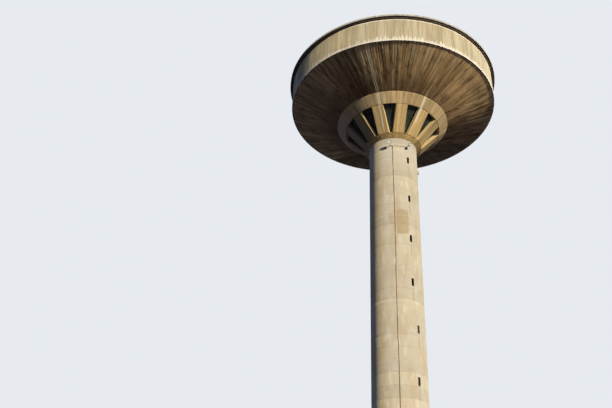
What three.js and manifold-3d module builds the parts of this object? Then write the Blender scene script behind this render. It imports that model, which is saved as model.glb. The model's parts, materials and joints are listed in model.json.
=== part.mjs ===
import * as THREE from "three";
import { mergeVertices } from "three/addons/utils/BufferGeometryUtils.js";
import Module from "manifold-3d";

// Concrete water tower: a round shaft, an open crown of raking struts with glazing
// behind them, and a shallow conical tank with an upright band and a cornice.
// All sizes are those of the full-size tower in metres; modelScale makes the 1:10 model.
// Azimuth 0 is -Y, the side with the door and the line of slots, and azimuths grow
// towards +X. Heights are above the ground.
const modelScale = 0.1;
const facetCount = 72;
const seatGap = 0.0003 / modelScale;

const shaft = { radius: 2.253, wall: 0.30, top: 43.33, joints: [9.56, 17.95, 26.46, 34.68] };
const crown = { sillRadius: 2.74, sillHeight: 43.64, ringRadius: 4.552, ringHeight: 45.625, depth: 0.38 };
const strut = { count: 12, width: 1.07, firstAzimuth: 2.8 };
const glass = { thickness: 0.05 };
const ring = { outerRadius: 5.389, outerHeight: 46.405 };
const cone = { thickness: 0.35, rimRadius: 9.87, rimHeight: 48.25 };
const band = { radius: 10.0, wall: 0.30, bottom: 48.219, top: 50.89 };
const cornice = {
  radius: 10.303, innerRadius: 9.35, top: 51.20, edge: 0.20, grooveRadius: 10.16, groove: 0.03,
};
const roof = { thickness: 0.18, rise: 0.85, flatRadius: 0.6 };
const vent = { stemRadius: 0.28, stemHeight: 0.35, capRadius: 0.45, capHeight: 0.14 };
const hatch = { distance: 8.3, azimuth: 122, size: 0.95, height: 0.30 };
const tankFloor = { thickness: 0.30, rise: 0.95, drop: 0.10, steps: 5 };

const slot = { width: 0.25, height: 0.69 };
const slots = [
  { height: 41.00, azimuth: -2.2 },
  { height: 36.76, azimuth: -3.2 },
  { height: 32.66, azimuth: -3.5 },
  { height: 28.49, azimuth: -3.5 },
  { height: 24.39, azimuth: 7.0 },
  { height: 20.06, azimuth: 2.3 },
  { height: 15.85, azimuth: 2.3 },
  { height: 11.65, azimuth: 2.3 },
  { height: 7.46, azimuth: 2.3 },
];

const groundFloor = { thickness: 0.20 };
const chamberFloor = { bottom: 43.60, thickness: 0.20, stairWidth: 0.95, stairLength: 1.40, stairOffset: 0.75 };
const doorway = { azimuth: 0, width: 1.00, height: 2.10 };
const doorFrame = { thickness: 0.06, depth: 0.12, setback: 0.10 };
const doorLeaf = { thickness: 0.05, clearance: 0.004 };

const lampHeight = 42.42;
const lamp = {
  plate: 0.16, plateThickness: 0.02, arm: 0.48, armSize: 0.05,
  headWidth: 0.34, headDepth: 0.16, headHeight: 0.36, lift: 0.03, tilt: 25,
};
const lampAzimuths = { left_floodlight: -46, right_floodlight: -6 };
const lampPans = { left_floodlight: 0, right_floodlight: 50 };
const conduit = { azimuth: -40, radius: 0.022, sides: 8, foot: 1.20 };
const junctionBox = { width: 0.14, depth: 0.09, height: 0.16 };
const sideBox = { azimuth: 50, height: 40.85, width: 0.22, depth: 0.14, tall: 0.36 };

const wasm = await Module();
wasm.setup();

const colours = {
  shaftConcrete: { color: 0xcdbf9f, roughness: 0.9, metalness: 0 },
  crownConcrete: { color: 0xb59a68, roughness: 0.9, metalness: 0 },
  coneConcrete: { color: 0x6f5a38, roughness: 0.92, metalness: 0 },
  bandConcrete: { color: 0xc4b28a, roughness: 0.9, metalness: 0 },
  edgeConcrete: { color: 0xb3ab9c, roughness: 0.9, metalness: 0 },
  innerConcrete: { color: 0x8c867a, roughness: 0.92, metalness: 0 },
  glazing: { color: 0x3c463e, roughness: 0.25, metalness: 0 },
  darkMetal: { color: 0x2f2f2d, roughness: 0.55, metalness: 0.4 },
  paleMetal: { color: 0xc9c4b6, roughness: 0.5, metalness: 0.2 },
  doorMetal: { color: 0x6b6f68, roughness: 0.6, metalness: 0.3 },
};

const tower = new THREE.Group();

const radians = (degrees) => degrees * Math.PI / 180;
const millimetres = (metres) => metres * 1000 * modelScale;

// The flat of a facet lies a little inside the circle of the corners.
const facetFlat = (radius) => radius * Math.cos(Math.PI / facetCount);

// A profile is a list of [radius, height] points, counterclockwise with the radius to the right.
function turned(profile) {
  const points = profile.map(([r, z]) => new THREE.Vector2(r, z));
  const geometry = new THREE.LatheGeometry(points, facetCount, -Math.PI / facetCount, 2 * Math.PI);
  return geometry.rotateX(Math.PI / 2);
}

function turnedRing(profile) {
  return turned([...profile, profile[0]]);
}

function box(width, depth, height) {
  return new THREE.BoxGeometry(width, depth, height);
}

// Turns a shape drawn facing the front to an azimuth.
function faced(geometry, azimuth) {
  return geometry.rotateZ(radians(azimuth));
}

function solidOf(geometry) {
  const bare = geometry.index ? geometry.toNonIndexed() : geometry.clone();
  bare.deleteAttribute("normal");
  bare.deleteAttribute("uv");
  const merged = mergeVertices(bare, 1e-6);
  return new wasm.Manifold(new wasm.Mesh({
    numProp: 3,
    vertProperties: new Float32Array(merged.attributes.position.array),
    triVerts: new Uint32Array(merged.index.array),
  }));
}

function geometryOf(solid) {
  const mesh = solid.getMesh();
  const geometry = new THREE.BufferGeometry();
  geometry.setAttribute("position", new THREE.BufferAttribute(mesh.vertProperties, 3));
  geometry.setIndex(new THREE.BufferAttribute(mesh.triVerts, 1));
  return geometry;
}

// Everything is drawn in full-size metres and becomes model millimetres here.
function add(name, geometry, finish) {
  const sized = geometry.scale(millimetres(1), millimetres(1), millimetres(1));
  const mesh = new THREE.Mesh(sized, new THREE.MeshStandardMaterial(colours[finish]));
  mesh.name = name;
  tower.add(mesh);
}

// The point a given distance to the inside of a line, measured square to it at its start.
function insetFrom([r1, z1], [r2, z2], distance) {
  const length = Math.hypot(r2 - r1, z2 - z1);
  return [r1 - distance * (z2 - z1) / length, z1 + distance * (r2 - r1) / length];
}

function pointOn([r1, z1], [r2, z2], distance) {
  const length = Math.hypot(r2 - r1, z2 - z1);
  return [r1 + distance * (r2 - r1) / length, z1 + distance * (z2 - z1) / length];
}

function shifted([r, z], [r1, z1], [r2, z2], distance) {
  const length = Math.hypot(r2 - r1, z2 - z1);
  return [r + distance * (r2 - r1) / length, z + distance * (z2 - z1) / length];
}

// The height at a radius on the line through a point, with the slope from one corner to another.
function alongSlope([r, z], [r1, z1], [r2, z2], radius) {
  return z + (z2 - z1) / (r2 - r1) * (radius - r);
}

// Corners of the crown, ring and cone, shared by the pieces that meet there.
const sillEdge = [crown.sillRadius, crown.sillHeight];
const ringEdge = [crown.ringRadius, crown.ringHeight];
const crownNormal = [sillEdge, insetFrom(sillEdge, ringEdge, 1)];
const crownInset = (point) => shifted(point, ...crownNormal, crown.depth);
const coneStart = [ring.outerRadius, ring.outerHeight];
const coneEnd = [cone.rimRadius, cone.rimHeight];
const coneRimTop = alongSlope(insetFrom(coneStart, coneEnd, cone.thickness), coneStart, coneEnd, cone.rimRadius);
const shaftInner = shaft.radius - shaft.wall;

// Shaft: five poured lifts on the ground slab, with the slots and the doorway cut through.
function slotCutter({ height, azimuth }) {
  const reach = 3 * shaft.wall;
  const cutter = box(slot.width, reach, slot.height);
  cutter.translate(0, -shaft.radius + shaft.wall / 2, height);
  return solidOf(faced(cutter, azimuth));
}

function doorwayCutter() {
  const cutter = box(doorway.width, 3 * shaft.wall, 2 * doorway.height);
  cutter.translate(0, -shaft.radius + shaft.wall / 2, groundFloor.thickness);
  return solidOf(faced(cutter, doorway.azimuth));
}

function makeShaft() {
  const levels = [groundFloor.thickness, ...shaft.joints, shaft.top];
  for (let i = 0; i < levels.length - 1; i += 1) {
    const low = levels[i] + seatGap;
    const high = levels[i + 1];
    let lift = solidOf(turnedRing([
      [shaftInner, low], [shaft.radius, low], [shaft.radius, high], [shaftInner, high],
    ]));
    for (const opening of slots) {
      if (opening.height > low && opening.height < high) {
        lift = lift.subtract(slotCutter(opening));
      }
    }
    if (i === 0) {
      lift = lift.subtract(doorwayCutter());
    }
    add(`shaft_lift_${i + 1}`, geometryOf(lift), "shaftConcrete");
  }
}

// The ground slab is the foot of the tower and carries the wall.
function makeGroundFloor() {
  const { radius } = shaft;
  const high = groundFloor.thickness;
  add("ground_floor", turned([[0, 0], [radius, 0], [radius, high], [0, high]]), "innerConcrete");
}

// Door: a steel frame in the reveal of the doorway, with its leaf shut inside it.
function makeDoor() {
  const sill = groundFloor.thickness;
  const face = -shaft.radius * Math.cos(Math.asin(doorway.width / 2 / shaft.radius)) + doorFrame.setback;
  const middle = face + doorFrame.depth / 2;
  const width = doorway.width - 2 * seatGap;
  const height = doorway.height - 2 * seatGap;
  const outer = solidOf(box(width, doorFrame.depth, height).translate(0, middle, sill + doorway.height / 2));
  const clearWidth = width - 2 * doorFrame.thickness;
  const clearHeight = height - doorFrame.thickness;
  const inner = solidOf(box(clearWidth, 2 * doorFrame.depth, clearHeight)
    .translate(0, middle, sill + clearHeight / 2 - doorFrame.thickness / 2));
  add("door_frame", faced(geometryOf(outer.subtract(inner)), doorway.azimuth), "doorMetal");
  const leafWidth = clearWidth - 2 * doorLeaf.clearance;
  const leafTop = sill + clearHeight - doorFrame.thickness / 2 - doorLeaf.clearance;
  const leafHeight = leafTop - sill - seatGap;
  const leaf = box(leafWidth, doorLeaf.thickness, leafHeight);
  leaf.translate(0, middle, sill + seatGap + leafHeight / 2);
  add("door_leaf", faced(leaf, doorway.azimuth), "doorMetal");
}

// Crown: a splayed collar on the shaft, and a slab floor inside it with the stair opening.
function makeCollar() {
  const low = shaft.top + seatGap;
  const sillInner = crownInset(sillEdge);
  add("crown_collar", turnedRing([
    [shaftInner, low], [shaft.radius, low], sillEdge, sillInner, [shaftInner, sillInner[1]],
  ]), "crownConcrete");
}

function makeChamberFloor() {
  const edge = shaftInner - seatGap;
  const high = chamberFloor.bottom + chamberFloor.thickness;
  const slab = solidOf(turned([
    [0, chamberFloor.bottom], [edge, chamberFloor.bottom], [edge, high], [0, high],
  ]));
  const opening = box(chamberFloor.stairLength, chamberFloor.stairWidth, 3 * chamberFloor.thickness);
  opening.translate(0, chamberFloor.stairOffset, chamberFloor.bottom);
  add("chamber_floor", geometryOf(slab.subtract(solidOf(opening))), "innerConcrete");
}

// The sloping zone between the sill and the ring, which the struts and the panes are cut from.
function crownZone(outerDepth, innerDepth) {
  const low = pointOn(sillEdge, ringEdge, seatGap);
  const high = pointOn(ringEdge, sillEdge, seatGap);
  return solidOf(turnedRing([
    shifted(low, ...crownNormal, outerDepth),
    shifted(high, ...crownNormal, outerDepth),
    shifted(high, ...crownNormal, innerDepth),
    shifted(low, ...crownNormal, innerDepth),
  ]));
}

function makeStruts() {
  const zone = crownZone(0, crown.depth);
  const span = 2 * crown.ringRadius;
  for (let i = 0; i < strut.count; i += 1) {
    const prism = box(strut.width, span, span).translate(0, -span / 2, crown.ringHeight);
    const azimuth = strut.firstAzimuth + i * 360 / strut.count;
    add(`crown_strut_${i + 1}`, geometryOf(zone.intersect(solidOf(faced(prism, azimuth)))), "crownConcrete");
  }
}

// Each pane fills the gap between two struts, flush with their inner faces.
function makePanes() {
  const zone = crownZone(crown.depth - glass.thickness, crown.depth);
  const half = Math.PI / strut.count;
  const apex = (strut.width / 2 + seatGap) / Math.sin(half);
  const reach = 2 * crown.ringRadius;
  for (let i = 0; i < strut.count; i += 1) {
    const plan = new THREE.Shape([
      new THREE.Vector2(0, -apex),
      new THREE.Vector2(reach * Math.sin(half), -apex - reach * Math.cos(half)),
      new THREE.Vector2(-reach * Math.sin(half), -apex - reach * Math.cos(half)),
    ].reverse());
    const wedge = new THREE.ExtrudeGeometry(plan, { depth: reach, bevelEnabled: false });
    wedge.translate(0, 0, shaft.top);
    const azimuth = strut.firstAzimuth + (i + 0.5) * 360 / strut.count;
    add(`crown_pane_${i + 1}`, geometryOf(zone.intersect(solidOf(faced(wedge, azimuth)))), "glazing");
  }
}

// Ring beam on the heads of the struts; it carries the cone and the tank's floor.
function makeRingBeam() {
  const innerFoot = crownInset(ringEdge);
  const top = insetFrom(coneStart, coneEnd, cone.thickness);
  add("ring_beam", turnedRing([ringEdge, coneStart, top, [innerFoot[0], top[1]], innerFoot]), "crownConcrete");
}

// Tank: a domed floor inside the ring, the conical underside, and the upright band.
function makeTankFloor() {
  const beamTop = insetFrom(coneStart, coneEnd, cone.thickness)[1];
  const edge = crownInset(ringEdge)[0] - seatGap;
  const edgeTop = beamTop - tankFloor.drop;
  const arc = (height) => {
    const points = [];
    for (let i = 0; i <= tankFloor.steps; i += 1) {
      const share = i / tankFloor.steps;
      points.push([edge * share, height + tankFloor.rise * (1 - share * share)]);
    }
    return points;
  };
  const under = arc(edgeTop - tankFloor.thickness);
  const over = arc(edgeTop).reverse();
  add("tank_floor", turned([...under, ...over]), "innerConcrete");
}

function makeTankCone() {
  const start = pointOn(coneStart, coneEnd, seatGap);
  const top = insetFrom(start, coneEnd, cone.thickness);
  const edge = coneEnd[0] - seatGap;
  const edgeLow = alongSlope(coneStart, coneStart, coneEnd, edge);
  const edgeHigh = alongSlope(top, coneStart, coneEnd, edge);
  add("tank_cone", turnedRing([start, [edge, edgeLow], [edge, edgeHigh], top]), "coneConcrete");
}

// The band stands on the cone's rim and hangs down past it as a skirt.
function makeTankBand() {
  const inner = band.radius - band.wall;
  const seat = coneRimTop + seatGap;
  add("tank_band", turnedRing([
    [cone.rimRadius, band.bottom], [band.radius, band.bottom], [band.radius, band.top],
    [inner, band.top], [inner, seat], [cone.rimRadius, seat],
  ]), "bandConcrete");
}

// The cornice stands out past the band, with a drip groove in its sloping underside.
function makeCornice() {
  const { radius, innerRadius, top, grooveRadius, groove } = cornice;
  const inside = [band.radius, band.top + seatGap];
  const outside = [radius, top - cornice.edge];
  const soffit = (at) => alongSlope(inside, inside, outside, at);
  const ceiling = soffit(grooveRadius + groove) + groove;
  add("cornice", turnedRing([
    [innerRadius, inside[1]], inside,
    [grooveRadius - groove, soffit(grooveRadius - groove)], [grooveRadius - groove, ceiling],
    [grooveRadius + groove, ceiling], [grooveRadius + groove, soffit(grooveRadius + groove)],
    outside, [radius, top], [innerRadius, top],
  ]), "edgeConcrete");
}

const roofEdgeTop = cornice.top;
const roofTop = roofEdgeTop + roof.rise;

function makeRoof() {
  const edge = cornice.innerRadius - seatGap;
  add("roof", turned([
    [0, roofTop - roof.thickness], [roof.flatRadius, roofTop - roof.thickness],
    [edge, roofEdgeTop - roof.thickness], [edge, roofEdgeTop], [roof.flatRadius, roofTop], [0, roofTop],
  ]), "edgeConcrete");
}

function makeRoofVent() {
  const foot = roofTop + seatGap;
  const neck = foot + vent.stemHeight;
  add("roof_vent", turned([
    [0, foot], [vent.stemRadius, foot], [vent.stemRadius, neck], [vent.capRadius, neck],
    [0, neck + vent.capHeight],
  ]), "paleMetal");
}

// The hatch lies square to the roof's slope.
function makeRoofHatch() {
  const run = cornice.innerRadius - roof.flatRadius;
  const slope = Math.atan2(roof.rise, run);
  const surface = roofEdgeTop + Math.tan(slope) * (cornice.innerRadius - hatch.distance);
  const lid = box(hatch.size, hatch.size, hatch.height).translate(0, 0, hatch.height / 2 + seatGap);
  lid.rotateX(slope).translate(0, -hatch.distance, surface);
  add("roof_hatch", faced(lid, hatch.azimuth), "edgeConcrete");
}

// Floodlights: a wall plate, an arm and a head tilted down and panned aside, fused into one casting.
function makeFloodlight(name, azimuth) {
  const wall = facetFlat(shaft.radius) + seatGap;
  const plate = solidOf(box(lamp.plate, lamp.plateThickness, lamp.plate)
    .translate(0, -wall - lamp.plateThickness / 2, 0));
  const arm = solidOf(box(lamp.armSize, lamp.arm, lamp.armSize)
    .translate(0, -wall - lamp.plateThickness / 2 - lamp.arm / 2, 0));
  const head = solidOf(box(lamp.headWidth, lamp.headDepth, lamp.headHeight)
    .rotateX(radians(lamp.tilt)).rotateZ(radians(lampPans[name]))
    .translate(0, -wall - lamp.arm - lamp.headDepth / 2, lamp.lift));
  const body = geometryOf(plate.add(arm).add(head));
  add(name, faced(body, azimuth).translate(0, 0, lampHeight), "darkMetal");
}

// Conduit: down the wall from a junction box, with an arm round the wall to each floodlight.
function conduitRun(points, steps) {
  const outline = new THREE.Shape();
  outline.absarc(0, 0, conduit.radius, 0, 2 * Math.PI);
  const path = new THREE.CatmullRomCurve3(points);
  const settings = { steps, extrudePath: path, bevelEnabled: false, curveSegments: conduit.sides };
  return solidOf(new THREE.ExtrudeGeometry(outline, settings));
}

function aroundWall(fromAzimuth, toAzimuth, radius, count) {
  const points = [];
  for (let i = 0; i <= count; i += 1) {
    const azimuth = radians(fromAzimuth + (toAzimuth - fromAzimuth) * i / count);
    points.push(new THREE.Vector3(radius * Math.sin(azimuth), -radius * Math.cos(azimuth), lampHeight));
  }
  return points;
}

function makeConduit() {
  const wall = facetFlat(shaft.radius) + seatGap;
  const cornerClear = shaft.radius + conduit.radius + seatGap;
  const centre = -wall - conduit.radius;
  const { azimuth, foot } = conduit;
  const drop = conduitRun([
    new THREE.Vector3(0, centre, foot),
    new THREE.Vector3(0, centre, (foot + lampHeight) / 2),
    new THREE.Vector3(0, centre, lampHeight),
  ], 2);
  const boxAt = (height) => solidOf(box(junctionBox.width, junctionBox.depth, junctionBox.height)
    .translate(0, -wall - junctionBox.depth / 2, height));
  const upright = faced(geometryOf(drop.add(boxAt(lampHeight)).add(boxAt(foot))), azimuth);
  const halfPlate = (lamp.plate / 2 + seatGap) / shaft.radius * 180 / Math.PI;
  const { left_floodlight: leftLamp, right_floodlight: rightLamp } = lampAzimuths;
  const left = conduitRun(aroundWall(azimuth, leftLamp + halfPlate, cornerClear, 4), 4);
  const right = conduitRun(aroundWall(azimuth, rightLamp - halfPlate, cornerClear, 8), 8);
  add("lamp_conduit", geometryOf(solidOf(upright).add(left).add(right)), "darkMetal");
}

function makeSideBox() {
  const wall = facetFlat(shaft.radius) + seatGap;
  const housing = box(sideBox.width, sideBox.depth, sideBox.tall);
  housing.translate(0, -wall - sideBox.depth / 2, sideBox.height);
  add("side_box", faced(housing, sideBox.azimuth), "paleMetal");
}

makeShaft();
makeGroundFloor();
makeDoor();
makeCollar();
makeChamberFloor();
makeStruts();
makePanes();
makeRingBeam();
makeTankFloor();
makeTankCone();
makeTankBand();
makeCornice();
makeRoof();
makeRoofVent();
makeRoofHatch();
for (const [name, azimuth] of Object.entries(lampAzimuths)) {
  makeFloodlight(name, azimuth);
}
makeConduit();
makeSideBox();

export default tower;
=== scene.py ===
import json
from math import asin, atan2, ceil, cos, degrees, pi, radians, sin

import bmesh
import bpy
import numpy as np
from mathutils import Matrix, Vector


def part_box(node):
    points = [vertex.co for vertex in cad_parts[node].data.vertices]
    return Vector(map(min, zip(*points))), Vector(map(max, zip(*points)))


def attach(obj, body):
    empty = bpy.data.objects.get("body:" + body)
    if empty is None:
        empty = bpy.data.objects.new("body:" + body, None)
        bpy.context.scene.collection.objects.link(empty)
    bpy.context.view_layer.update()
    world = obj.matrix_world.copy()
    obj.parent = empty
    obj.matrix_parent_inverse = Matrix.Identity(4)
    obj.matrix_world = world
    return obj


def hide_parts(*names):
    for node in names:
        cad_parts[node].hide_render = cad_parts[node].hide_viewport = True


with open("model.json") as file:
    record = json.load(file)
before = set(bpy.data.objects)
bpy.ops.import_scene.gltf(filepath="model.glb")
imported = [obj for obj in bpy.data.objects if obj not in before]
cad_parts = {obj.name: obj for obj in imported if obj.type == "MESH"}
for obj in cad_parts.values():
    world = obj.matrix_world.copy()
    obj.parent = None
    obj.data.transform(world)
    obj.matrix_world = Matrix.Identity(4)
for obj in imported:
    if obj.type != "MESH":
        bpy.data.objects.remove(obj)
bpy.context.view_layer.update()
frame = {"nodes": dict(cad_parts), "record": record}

metre = 0.1  # one metre of the real tower in this 1:10 model
alike = 0.0005  # measures closer than this are the same
print("frame loaded:", len(frame["nodes"]), "nodes")


# measures taken from the frame

def pointsOf(node):
    return np.array([v.co for v in frame["nodes"][node].data.vertices])


def cornersOf(node):
    # the (radius, height) corners of a turned node, counterclockwise
    points = pointsOf(node)
    corners = []
    for pair in np.column_stack((np.hypot(points[:, 0], points[:, 1]), points[:, 2])):
        if all(np.abs(pair - corner).max() > alike for corner in corners):
            corners.append(pair)
    middle = np.mean(corners, axis=0)
    corners.sort(key=lambda c: atan2(c[1] - middle[1], c[0] - middle[0]))
    return np.array(corners)


def levels(values):
    # the different values among them, in rising order
    values = np.sort(values)
    return values[np.append(True, np.diff(values) > alike)]


def boxOf(node):
    # the low and the high corner of a node's box, in real metres
    return [[value / metre for value in corner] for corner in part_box(node)]


def azimuthOf(node):
    # degrees from the front, -Y, growing towards +X
    low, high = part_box(node)
    middle = (low + high) / 2
    return degrees(atan2(middle.x, -middle.y))


def headingOf(node):
    # the azimuth of a fitting, from its points nearest the axis, which lie evenly about it
    points = pointsOf(node)
    radius = np.hypot(points[:, 0], points[:, 1])
    middle = points[radius < radius.min() + 0.0015].mean(0)
    return degrees(atan2(middle[0], -middle[1]))


def placeAt(azimuth, radius=0.0, height=0.0):
    # a matrix that sets something drawn facing the front on the tower
    out = Matrix.Translation((0, -radius, height))
    return Matrix.Rotation(radians(azimuth), 4, "Z") @ out


collarCorners = cornersOf("crown_collar")
ringCorners = cornersOf("ring_beam")
shaftRadius = cornersOf("ground_floor")[:, 0].max()
shaftInner = collarCorners[:, 0].min()
crownFoot = collarCorners[collarCorners[:, 0].argmax()]
crownHead = ringCorners[ringCorners[:, 1].argmin()]
crownRun = np.linalg.norm(crownHead - crownFoot)
crownAlong = (crownHead - crownFoot) / crownRun
crownInward = np.array((-crownAlong[1], crownAlong[0]))
crownDepth = np.sort(np.linalg.norm(ringCorners - crownHead, axis=1))[1]
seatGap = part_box("shaft_lift_1")[0].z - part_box("ground_floor")[1].z
strutNodes = [f"crown_strut_{i + 1}" for i in range(12)]
paneNodes = [f"crown_pane_{i + 1}" for i in range(12)]
firstStrut = radians(azimuthOf(strutNodes[0]))
strutHalf = max(pointsOf(strutNodes[0]) @ (cos(firstStrut), sin(firstStrut), 0))
slotBoxes = [o["box_m"] for o in frame["record"]["physics"]["openings"] if o["name"].startswith("slot_")]
slot = {"width": 0.25 * metre, "height": 0.69 * metre}


def slotPlaces():
    places = []
    for low, high in slotBoxes:
        x, y, z = ((low[k] + high[k]) / 2 for k in range(3))
        places.append((degrees(atan2(x, -y)), z))
    return places


# shader nodes

def tone(red, green, blue):
    # an sRGB colour of 0 to 255 as the shader wants it
    def linear(value):
        share = value / 255
        return share / 12.92 if share <= 0.04045 else ((share + 0.055) / 1.055) ** 2.4
    return (linear(red), linear(green), linear(blue), 1)


class Finish:
    # a procedural material whose colour follows the place on the tower, in real metres and degrees
    def __init__(self, name, look=None, **fixed):
        self.look = look
        self.material = bpy.data.materials.new(name)
        self.material.use_nodes = True
        self.tree = self.material.node_tree
        self.shader = self.tree.nodes["Principled BSDF"]
        for socket, value in fixed.items():
            self.shader.inputs[socket.replace("_", " ")].default_value = value
        spot = self.put("TexCoord", out="Object")
        self.place = self.put("VectorMath", spot, (1 / metre,) * 3, operation="MULTIPLY")
        self.across = self.put("SeparateXYZ", self.place, out="X")
        self.deep = self.put("SeparateXYZ", self.place, out="Y")
        self.height = self.put("SeparateXYZ", self.place, out="Z")
        flat = self.put("VectorMath", self.place, (1, 1, 0), operation="MULTIPLY")
        self.radius = self.put("VectorMath", flat, operation="LENGTH", out="Value")
        self.heading = self.put("VectorMath", flat, operation="NORMALIZE")
        turned = self.math("ARCTAN2", self.across, self.times(self.deep, -1))
        self.azimuth = self.times(turned, 180 / pi)
        self.along = self.radius if look and look.get("along") == "radius" else self.height

    def put(self, kind, *inputs, out=0, **settings):
        node = self.tree.nodes.new("ShaderNode" + kind)
        for key, value in settings.items():
            setattr(node, key, value)
        for socket, value in zip(node.inputs, inputs):
            self.feed(socket, value)
        return node.outputs[out]

    def feed(self, socket, value):
        if isinstance(value, bpy.types.NodeSocket):
            self.tree.links.new(value, socket)
        else:
            socket.default_value = value

    def math(self, operation, *values):
        return self.put("Math", *values, operation=operation)

    def times(self, first, *others):
        for other in others:
            first = self.math("MULTIPLY", first, other)
        return first

    def scaled(self, value, factor, offset):
        return self.math("MULTIPLY_ADD", value, factor, offset)

    def less(self, value, other):
        return self.math("SUBTRACT", value, other)

    def noise(self, at, scale=1.0, detail=3.0, roughness=0.5):
        node = self.put("TexNoise", at).node
        node.inputs["Scale"].default_value = scale
        node.inputs["Detail"].default_value = detail
        node.inputs["Roughness"].default_value = roughness
        return node.outputs["Fac"]

    def around(self, count, along, rise, seed=0.0):
        # where to sample a noise that makes stripes: count sets how many fit round the tower
        spread = self.put("VectorMath", self.heading, (count, count, 0), operation="MULTIPLY")
        drop = self.put("CombineXYZ", seed, 0.0, self.times(along, rise))
        return self.put("VectorMath", spread, drop, operation="ADD")

    def stripes(self, count, along, rise, seed=0.0, **kind):
        return self.noise(self.around(count, along, rise, seed), **kind)

    def pattern(self, name):
        # stripes as the look gives them: count, rise, seed, detail, roughness and, for a mask, its levels
        count, rise, seed, detail, roughness, *levels = self.look["patterns"][name]
        value = self.stripes(count, self.along, rise, seed, detail=detail, roughness=roughness)
        return self.level(value, *levels) if levels else value

    def patterns(self, *names):
        return [self.pattern(name) for name in names]

    def level(self, value, low, high):
        return self.put("MapRange", value, low, high, interpolation_type="SMOOTHSTEP")

    def cloud(self, low, high, scale, detail=6.0, roughness=0.5):
        return self.level(self.noise(self.place, scale, detail, roughness), low, high)

    def between(self, value, low, high, soft):
        rising = self.level(value, low - soft, low + soft)
        return self.times(rising, self.level(value, high + soft, high - soft))

    def past(self, low, high):
        # 0 up to one azimuth, 1 from the other on
        return self.level(self.azimuth, low, high)

    def sector(self, low, high, soft):
        return self.between(self.azimuth, low, high, soft)

    def zones(self, value, *names):
        # each zone adds its share to the value; two azimuths fade it in, and a third number is the
        # soft edge of a zone that lies between them
        for name in names:
            share, *span = self.look["zones"][name]
            mask = self.past(*span) if len(span) == 2 else self.sector(*span)
            value = self.scaled(mask, share, value)
        return value

    def outward(self):
        # 1 where the surface looks straight away from the tower's axis, 0 where it looks along the wall
        normal = self.put("NewGeometry", out="Normal")
        facing = self.put("VectorMath", normal, self.heading, operation="DOT_PRODUCT", out="Value")
        return self.math("ABSOLUTE", facing)

    def mix(self, share, first, second, how="MIX"):
        first, second = (self.look[c] if isinstance(c, str) else c for c in (first, second))
        return self.put("MixRGB", share, first, second, blend_type=how)

    def base(self, share, first, second):
        # mixes the finish's first two colours; coat, tint and dim then change the colour so far
        self.colour = self.mix(share, first, second)

    def coat(self, colour, *shares):
        self.colour = self.mix(self.times(*shares), self.colour, colour)

    def tint(self, colour, *shares):
        self.colour = self.mix(self.times(*shares), self.colour, colour, "MULTIPLY")

    def dim(self, value):
        self.tint(self.put("CombineXYZ", value, value, value), 1.0)

    def done(self, relief=None, depth=0.001, roughness=None):
        self.feed(self.shader.inputs["Base Color"], self.colour)
        if roughness is not None:
            self.feed(self.shader.inputs["Roughness"], roughness)
        if relief is not None:
            bump = self.put("Bump", out="Normal").node
            bump.inputs["Distance"].default_value = depth
            self.feed(bump.inputs["Height"], relief)
            self.feed(self.shader.inputs["Normal"], bump.outputs["Normal"])
        return self.material


def concrete(name, look):
    roughness, shine, softness = look["skin"]
    return Finish(name, look, Roughness=roughness, Specular_IOR_Level=shine, Diffuse_Roughness=softness)


def grain(f, pores=0.35):
    # cement skin: a fine tooth with small air holes
    tooth = f.noise(f.place, scale=9.0, detail=9.0, roughness=0.65)
    cells = f.put("TexVoronoi", f.place, out="Distance").node
    cells.inputs["Scale"].default_value = 14.0
    hole = f.level(cells.outputs["Distance"], 0.16, 0.05)
    rare = f.cloud(0.52, 0.62, 2.2, 3.0)
    return f.less(tooth, f.times(hole, rare, pores))


print("shader tools ready")

# concrete finishes

limeRuns = [  # lime water that has run from the cone over the ring and down a strut
    {"azimuth": -51.8, "drift": -0.30, "from": 9.85, "to": 4.5, "width": 0.050, "strength": 1.0},
    {"azimuth": -53.4, "drift": -0.30, "from": 9.6, "to": 3.0, "width": 0.040, "strength": 0.9},
    {"azimuth": -47.5, "drift": 0.10, "from": 9.8, "to": 6.2, "width": 0.030, "strength": 0.6},
    {"azimuth": -57.5, "drift": 0.50, "from": 9.8, "to": 6.6, "width": 0.030, "strength": 0.5},
    {"azimuth": -61.0, "drift": 0.80, "from": 9.5, "to": 7.2, "width": 0.030, "strength": 0.5},
    {"azimuth": -4.0, "drift": -0.30, "from": 7.4, "to": 5.2, "width": 0.045, "strength": 0.55},
    {"azimuth": 2.6, "drift": -0.20, "from": 9.2, "to": 5.4, "width": 0.030, "strength": 0.40},
    {"azimuth": -4.6, "drift": 0.45, "from": 5.6, "to": 3.6, "width": 0.085, "strength": 0.95},
    {"azimuth": -38.5, "drift": 0.15, "from": 9.8, "to": 5.6, "width": 0.035, "strength": 0.55},
    {"azimuth": 14.0, "drift": 0.60, "from": 9.7, "to": 5.4, "width": 0.030, "strength": 0.40},
]


def limeMask(f):
    # each run follows its azimuth, wavering by a few centimetres, and breaks up at its ends
    waver = f.less(f.stripes(1.5, f.radius, 1.6, detail=5.0, roughness=0.7), 0.5)
    gaps = f.level(f.stripes(40.0, f.radius, 2.0, 3.0, detail=3.0), 0.26, 0.44)
    total = None
    for run in limeRuns:
        path = f.scaled(f.less(7.5, f.radius), run["drift"], run["azimuth"])
        path = f.scaled(waver, 1.3, path)
        off = f.math("ABSOLUTE", f.less(f.azimuth, path))
        off = f.times(off, f.radius, pi / 180)
        line = f.level(off, run["width"] * 1.6, run["width"] * 0.5)
        reach = f.between(f.radius, run["to"], run["from"], 0.25)
        mask = f.times(line, reach, gaps, run["strength"])
        total = mask if total is None else f.math("MAXIMUM", total, mask)
    return total


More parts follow.
